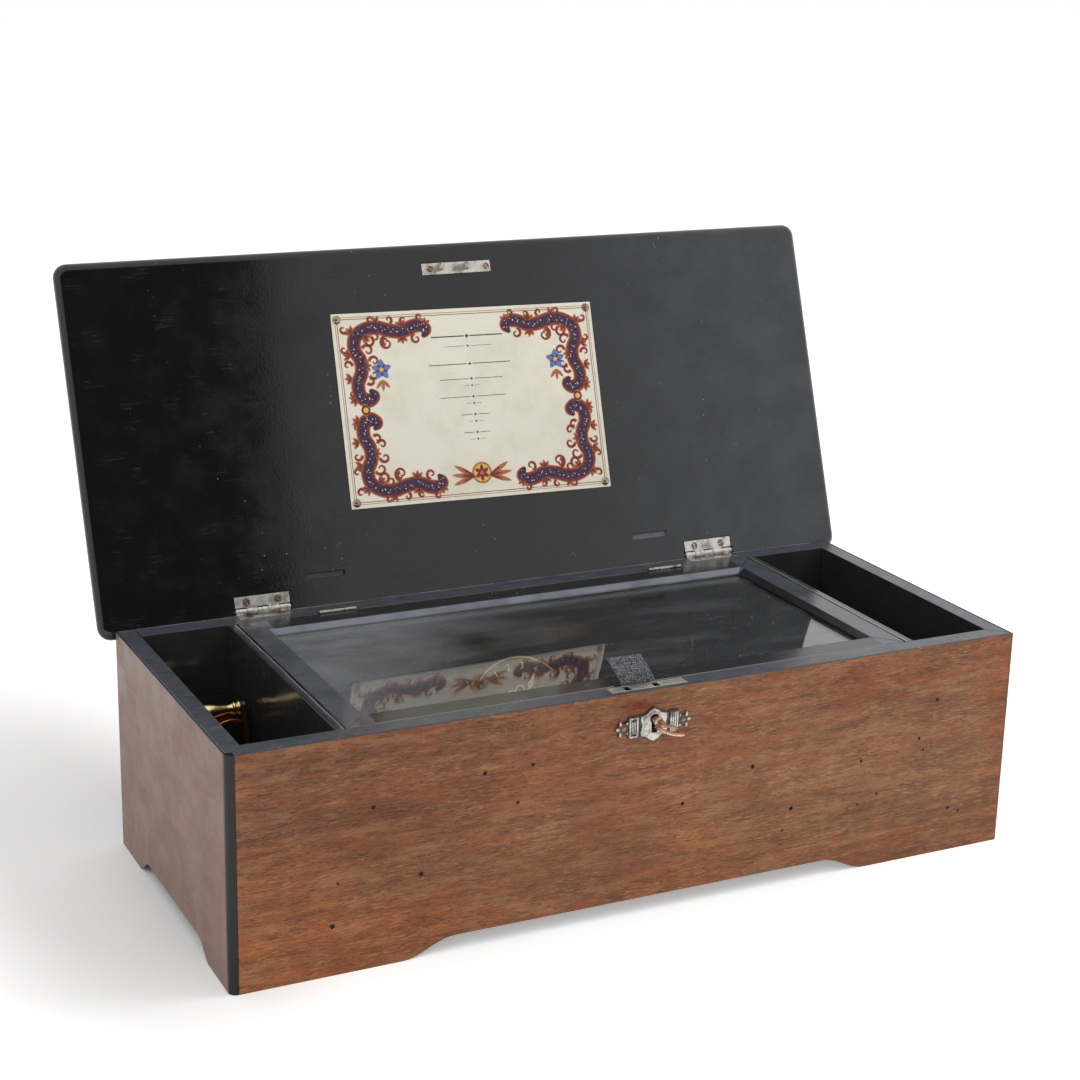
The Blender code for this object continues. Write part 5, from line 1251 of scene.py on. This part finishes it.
def card_flowers():
    """A flower on each side, a spray at the middle of the foot, and a boss where the scrolls meet."""
    blue, ochre, yellow, maroon = [], [], [], []
    for x, y in QUARTERS:
        for u, v, angle in LEAVES:
            root = np.array((u * x, v * y))
            way = math.atan2(math.sin(math.radians(angle)) * y, math.cos(math.radians(angle)) * x)
            ochre += [petal(root, way + spread, 5.6, 2.6, 0.06) for spread in (-0.75, 0.0, 0.75)]
            maroon += [petal(root, way + spread, 4.2, 1.3, 0.08) for spread in (-0.75, 0.0, 0.75)]
    for side in (-1, 1):
        heart = np.array((side * 66.0, 27.0))
        blue += [petal(heart, math.radians(72 * i + 18), 7.5, 4.2, 0.08) for i in range(5)]
        maroon += [petal(heart, math.radians(72 * i + 54), 5.0, 1.6, 0.10) for i in range(5)]
        yellow.append(patch(arc(heart, 1.5, 0, 330, 11), 0.12))
        ochre += [petal(heart + (0.0, -7.0), math.radians(a), 8.0, 2.4, 0.07) for a in (-50, -90, -130)]
        boss = np.array((side * 80.5, 0.0))
        maroon.append(patch(arc(boss, 3.4, 0, 330, 11), 0.08))
        yellow.append(patch(arc(boss, 1.9, 0, 330, 11), 0.10))
        ochre += [petal(boss, math.radians(a), 8.5, 3.0, 0.06) for a in (90, -90)]
        sprays = [math.radians(90 - side * a) for a in (60, 84, 108)]
        ochre += [petal((side * 6.0, -51.0), way, 17.0, 3.4, 0.07) for way in sprays]
        maroon += [petal((side * 5.0, -51.0), way, 11.0, 1.6, 0.09) for way in sprays]
    foot = np.array((0.0, -49.0))
    ochre.append(patch(arc(foot, 7.6, 0, 345, 23), 0.06))
    yellow.append(patch(arc(foot, 6.2, 0, 345, 23), 0.08))
    maroon += [petal(foot, math.radians(60 * i + 30), 6.0, 2.8, 0.10) for i in range(6)]
    ochre.append(patch(arc(foot, 1.6, 0, 330, 11), 0.12))
    for name, shapes in (("blue", blue), ("ochre", ochre), ("yellow", yellow), ("maroon", maroon)):
        printed("flowers_" + name, name, shapes)


def card_dividers():
    """Plain rules with a lozenge, where the card is ruled for its tunes."""
    lines = []
    for v, half, width in ((47.0, 27.0, 1.5), (40.0, 18.0, 0.55), (27.5, 31.0, 1.0), (17.0, 24.0, 0.75),
                           (12.3, 5.5, 0.5), (4.5, 25.0, 0.75), (-0.2, 5.5, 0.5), (-8.0, 10.5, 0.75),
                           (-12.7, 5.5, 0.5), (-20.5, 10.0, 0.75), (-25.2, 6.0, 0.5)):
        for start, end in ((-half, -2.2), (2.2, half)):
            lines.append(ribbon(np.linspace((start, v), (end, v), 4), width * 0.55, 0.03))
        size = 0.6 + width * 0.6
        lines.append(patch([(size, v), (0.0, v + size), (-size, v), (0.0, v - size)], 0.03))
    printed("dividers", "grey", lines)


def tacks():
    """Domed tack heads with a thin brim."""
    profile = [(0.0, 0.3), (3.0, 0.3), (3.05, 0.0), (2.7, -0.25), (2.3, -0.8), (1.7, -1.2), (0.9, -1.45),
               (0.0, -1.5)]
    profile = [(radius, CARD_FACE + height) for radius, height in profile]
    spots = [on_card((x * (CARD_WIDTH / 2 - 4.0), y * (CARD_HEIGHT / 2 - 4.0)), 0.0) for x, y in QUARTERS]
    heads = [turned(profile, "z", spot[:2], 18) for spot in spots]
    piece("card_tacks", merged(*heads), brass_lid, "lid", angle=60.0)


tune_card()


# Movement

def on_dial(flat, out):
    """Points on the leaning dial: right, up it, and out towards the front."""
    flat = np.asarray(flat, float)
    u, v = flat[..., 0], flat[..., 1]
    y = DIAL_Y + v * math.sin(DIAL_LEAN) - out * math.cos(DIAL_LEAN)
    z = DIAL_Z + v * math.cos(DIAL_LEAN) + out * math.sin(DIAL_LEAN)
    return np.stack(np.broadcast_arrays(DIAL_X + u, y, z), -1)


def dial_slab(outline, low, high):
    """An outline on the dial's plane, given thickness."""
    return grid(np.stack((on_dial(outline, low), on_dial(outline, high))), wrap_columns=True, caps=True)


def numeral(text, angle, radius, size):
    """A number's flat shape, made a mesh and set upright to the dial's edge."""
    curve = bpy.data.curves.new("numeral", "FONT")
    curve.body = text
    curve.size = size
    curve.align_x = "CENTER"
    curve.align_y = "CENTER"
    holder = linked("numeral", curve)
    bpy.context.view_layer.update()
    mesh = bpy.data.meshes.new_from_object(holder.evaluated_get(bpy.context.evaluated_depsgraph_get()))
    flat = np.zeros(len(mesh.vertices) * 3)
    mesh.vertices.foreach_get("co", flat)
    flat = flat.reshape(-1, 3)[:, :2]
    faces = [list(face.vertices) for face in mesh.polygons]
    bpy.data.objects.remove(holder)
    cosine, sine = math.cos(angle), math.sin(angle)
    u = flat[:, 0] * cosine + flat[:, 1] * sine + radius * sine
    v = flat[:, 1] * cosine - flat[:, 0] * sine + radius * cosine
    return on_dial(np.stack((u, v), -1), 0.12), faces


def tune_dial():
    """The fan-shaped dial with a gilt line along its edge, and its numbers."""
    half = math.degrees(DIAL_HALF)
    edge = arc((0.0, 0.0), DIAL_RADIUS, 90 + half, 90 - half, 40)
    base = DIAL_BASE * math.tan(DIAL_HALF)
    foot = [(base, DIAL_BASE), (3.5, DIAL_BASE - 3), (3.5, -2.0), (-3.5, -2.0), (-3.5, DIAL_BASE - 3),
            (-base, DIAL_BASE)]
    piece("dial_plate", dial_slab(np.vstack((edge, foot)), -1.6, 0.0), enamel, "case", 0.25,
          replaced=("tune_dial",))
    line = np.stack([arc((0.0, 0.0), radius, 90 + half, 90 - half, 40)
                     for radius in (DIAL_RADIUS - 1.1, DIAL_RADIUS - 0.1)])
    low, high = on_dial(line, 0.0), on_dial(line, 0.15)
    ring = grid(np.stack((low[0], high[0], high[1], low[1]), 0), wrap_rows=True)
    piece("dial_rings", ring, gold, "case", angle=60.0)
    steps = [math.radians(TUNE_STEP * (i - 1.5)) for i in range(4)]
    numbers = merged(*(numeral(str(i + 1), angle, 30.0, 6.4) for i, angle in enumerate(steps)))
    piece("dial_numbers", numbers, gold, "case", weld=False)


def dial_hand():
    """The gilt hand, turned to the last number: a stem, an open loop, a leaf for its tip, and curls."""
    turn = math.radians(1.5 * TUNE_STEP)
    rotate = np.array(((math.cos(turn), -math.sin(turn)), (math.sin(turn), math.cos(turn))))
    stem = [(-1.1, 1.0), (-0.8, 8.0), (0.8, 8.0), (1.1, 1.0)]
    tip = [(-0.45, 15.0), (-1.9, 19.0), (0.0, 27.0), (1.9, 19.0), (0.45, 15.0)]
    shapes = [dial_slab(np.array(outline) @ rotate, 0.6, 1.4) for outline in (stem, tip)]
    loop = np.array([(0.0, 7.0), (2.2, 8.6), (3.2, 11.0), (2.0, 13.8), (0.0, 15.4)])
    strips = [(smooth_line(loop * (side, 1), 6), 0.9, 1.3) for side in (-1, 1)]
    strips += [(spiral((side * x, y), 90.0 + side * (start - 90.0), side * way, 4.2, 0.9, 22), 0.84, 1.2)
               for x, y, start, way in ((9.0, 7.5, -20.0, 1.1), (5.0, 13.0, -50.0, 0.9)) for side in (-1, 1)]
    for path, width, top in strips:
        left, right = both_sides(path, width)
        shapes.append(dial_slab(np.vstack((left, right[::-1])) @ rotate, 0.7, top))
    shapes.append(dial_slab(arc((0.0, 0.0), 2.6, 0, 340, 17), 0.6, 1.5))
    shapes.append(dial_slab(arc((0.0, 0.0), 1.3, 0, 330, 11), 1.4, 2.0))
    piece("dial_hand", merged(*shapes), gold, "pointer", 0.12, replaced=("tune_pointer",))


def cylinder_pins():
    """Fine pins on the cylinder, in rows under the comb's teeth; each is a small four-sided spike."""
    tooth = rng.integers(0, TEETH, PINS)
    x = CYLINDER_LEFT + (tooth + 0.5) * TOOTH_PITCH + rng.choice((-0.75, -0.25, 0.25, 0.75), PINS)
    angle = rng.uniform(0, 2 * math.pi, PINS)
    foot = CYLINDER_RADIUS - 0.1
    ahead = 0.25 / CYLINDER_RADIUS
    corners = []
    for dx, turn, r in ((-0.18, -ahead, foot), (0.18, -ahead, foot), (0.18, ahead, foot),
                        (-0.18, ahead, foot), (0.0, 0.0, CYLINDER_RADIUS + PIN_HEIGHT)):
        y, z = CYLINDER_Y + r * np.cos(angle + turn), CYLINDER_Z + r * np.sin(angle + turn)
        corners.append(np.stack((x + dx, y, z), -1))
    start = len(corners) * np.arange(PINS)[:, None]
    sides = np.concatenate([start + np.array((i, (i + 1) % 4, 4)) for i in range(4)])
    feet = start + np.array((3, 2, 1, 0))
    shape = (np.stack(corners, 1).reshape(-1, 3), sides.tolist() + feet.tolist())
    piece("cylinder_pins", shape, steel, "cylinder")


def lever_grip():
    """The turned grip: a smooth line of radii along its axis, turned round it."""
    profile = smooth_line([(0.0, -206.9), (4.4, -206.95), (4.6, -208.6), (3.6, -209.3), (4.3, -210.4),
                           (4.3, -211.6), (3.3, -212.6), (3.0, -215.5), (3.6, -220.0), (4.8, -226.0),
                           (5.2, -231.0), (4.6, -236.0), (3.2, -239.5), (3.9, -240.8), (3.7, -242.2),
                           (2.2, -243.1), (0.0, -243.4)], 3)
    profile[:, 0] = np.maximum(profile[:, 0], 0.0)
    piece("turned_grip", turned(profile, "x", (GRIP_Y, GRIP_Z), 28), grip_brass, "winding",
          replaced=("lever_grip",), angle=60.0)


tune_dial()
dial_hand()
cylinder_pins()
lever_grip()
dressed("winding_lever", bronze, 0.4)
dressed("lever_strap", copper, 0.4)
for part in ("bedplate", "barrel_bracket", "left_bridge", "right_bridge", "comb_base", "dial_post"):
    dressed(part, brass, 0.35)
painted(["governor_frame", "spring_barrel", "great_wheel", "cylinder", "cylinder_wheel", "governor_wheel"],
        brass)
painted(["comb", "mainspring", "winding_arbor", "ratchet_click", "cylinder_arbor", "fly_screw"], steel)
painted(["start_lever", "change_lever"], nickel)


# Camera, floor and light

CAMERA_PLACE = (-608.5, -1181.3, 614.0)
CAMERA_YAW = 0.45981
CAMERA_PITCH = 0.29494
CAMERA_ROLL = 0.02296
CAMERA_LENS = 72.17


def photo_camera():
    """The photograph's camera: a yaw about Z, a pitch down, and a small roll about its own line of sight."""
    sight = np.array((math.sin(CAMERA_YAW) * math.cos(CAMERA_PITCH),
                      math.cos(CAMERA_YAW) * math.cos(CAMERA_PITCH), -math.sin(CAMERA_PITCH)))
    level = np.array((math.cos(CAMERA_YAW), -math.sin(CAMERA_YAW), 0.0))
    upright = np.cross(level, sight)
    right = math.cos(CAMERA_ROLL) * level + math.sin(CAMERA_ROLL) * upright
    up = -math.sin(CAMERA_ROLL) * level + math.cos(CAMERA_ROLL) * upright
    data = bpy.data.cameras.new("camera")
    data.sensor_width = 36.0
    data.lens = CAMERA_LENS
    camera = linked("camera", data)
    turn = Matrix(np.stack((right, up, -sight), -1).tolist())
    camera.matrix_world = Matrix.Translation(at_rest([CAMERA_PLACE], "case")[0]) @ turn.to_4x4()
    bpy.context.scene.camera = camera


def seen_rays(tree):
    """1 for rays that show the background: the camera's, a reflection's or one through glass."""
    paths = tree.tree.nodes.new("ShaderNodeLightPath").outputs
    seen = tree.greater(paths["Is Camera Ray"], paths["Is Glossy Ray"])
    return tree.greater(seen, paths["Is Transmission Ray"]), paths


def pale_floor():
    """A plain white floor that keeps the shadow, lifted to white where it is seen; the lift fades out round a
    spot left of the case, which paints a deeper shadow there.
    """
    made = bpy.data.materials.new("floor_white")
    made.use_nodes = True
    tree = Tree(made.node_tree)
    sockets = made.node_tree.nodes["Principled BSDF"].inputs
    for key, value in (("Base Color", (0.95, 0.95, 0.95)), ("Roughness", 1.0), ("Specular IOR Level", 0.0),
                       ("Emission Color", (1.0, 1.0, 1.0))):
        tree.feed(sockets[key], value)
    seen, _ = seen_rays(tree)
    offset = tree.vector("SUBTRACT", tree.add("TexCoord", output="Object"), SHADOW_SPOT)
    away = tree.length(tree.vector("DIVIDE", offset, SHADOW_REACH))
    # Painted shadow: there is no lift round SHADOW_SPOT, so the floor stays darker there.
    lift = tree.fade(away, 0.35, 1.10, *FLOOR_LIFT)
    tree.feed(sockets["Emission Strength"], tree.times(seen, lift))
    mesh = bpy.data.meshes.new("floor")
    corners = [(x * FLOOR_REACH, y * FLOOR_REACH, 0.0) for x, y in ((-1, -1), (1, -1), (1, 1), (-1, 1))]
    mesh.from_pydata(corners, [], [(0, 1, 2, 3)])
    mesh.materials.append(made)
    floor = linked("floor", mesh)


def studio_light():
    """An even pale room and two soft lamps.

    What the gloss mirrors is the room alone: white, but for a dark patch in front and to the left.
    """
    world = bpy.data.worlds.new("studio")
    world.use_nodes = True
    bpy.context.scene.world = world
    tree = Tree(world.node_tree)
    x, y, _ = tree.split(tree.add("TexCoord", output="Generated"))
    bright = tree.greater(tree.fade(x, 0.311, 0.327), tree.fade(y, -0.75, -0.55))
    seen, paths = seen_rays(tree)
    mirrored_room = tree.blend(bright, 0.02, 1.0)
    level = tree.blend(seen, WORLD_LIGHT, tree.blend(paths["Is Glossy Ray"], 1.0, mirrored_room))
    background = tree.tree.nodes["Background"].inputs
    tree.feed(background["Strength"], level)
    tree.feed(background["Color"], (1.0, 1.0, 1.0))
    for name, place, size, power in (("key_lamp", (1500.0, -300.0, 1500.0), 1.2, 16.0),
                                     ("fill_lamp", (-1300.0, -1500.0, 1500.0), 1.6, 9.0)):
        data = bpy.data.lights.new(name, "AREA")
        data.energy = power
        data.size = size
        lamp = linked(name, data)
        lamp.location = at_rest([place], "case")[0]
        lamp.visible_glossy = False
        lamp.rotation_euler = (-lamp.location).to_track_quat("-Z", "Y").to_euler()


photo_camera()
pale_floor()
studio_light()
bpy.context.scene.view_settings.view_transform = "Standard"
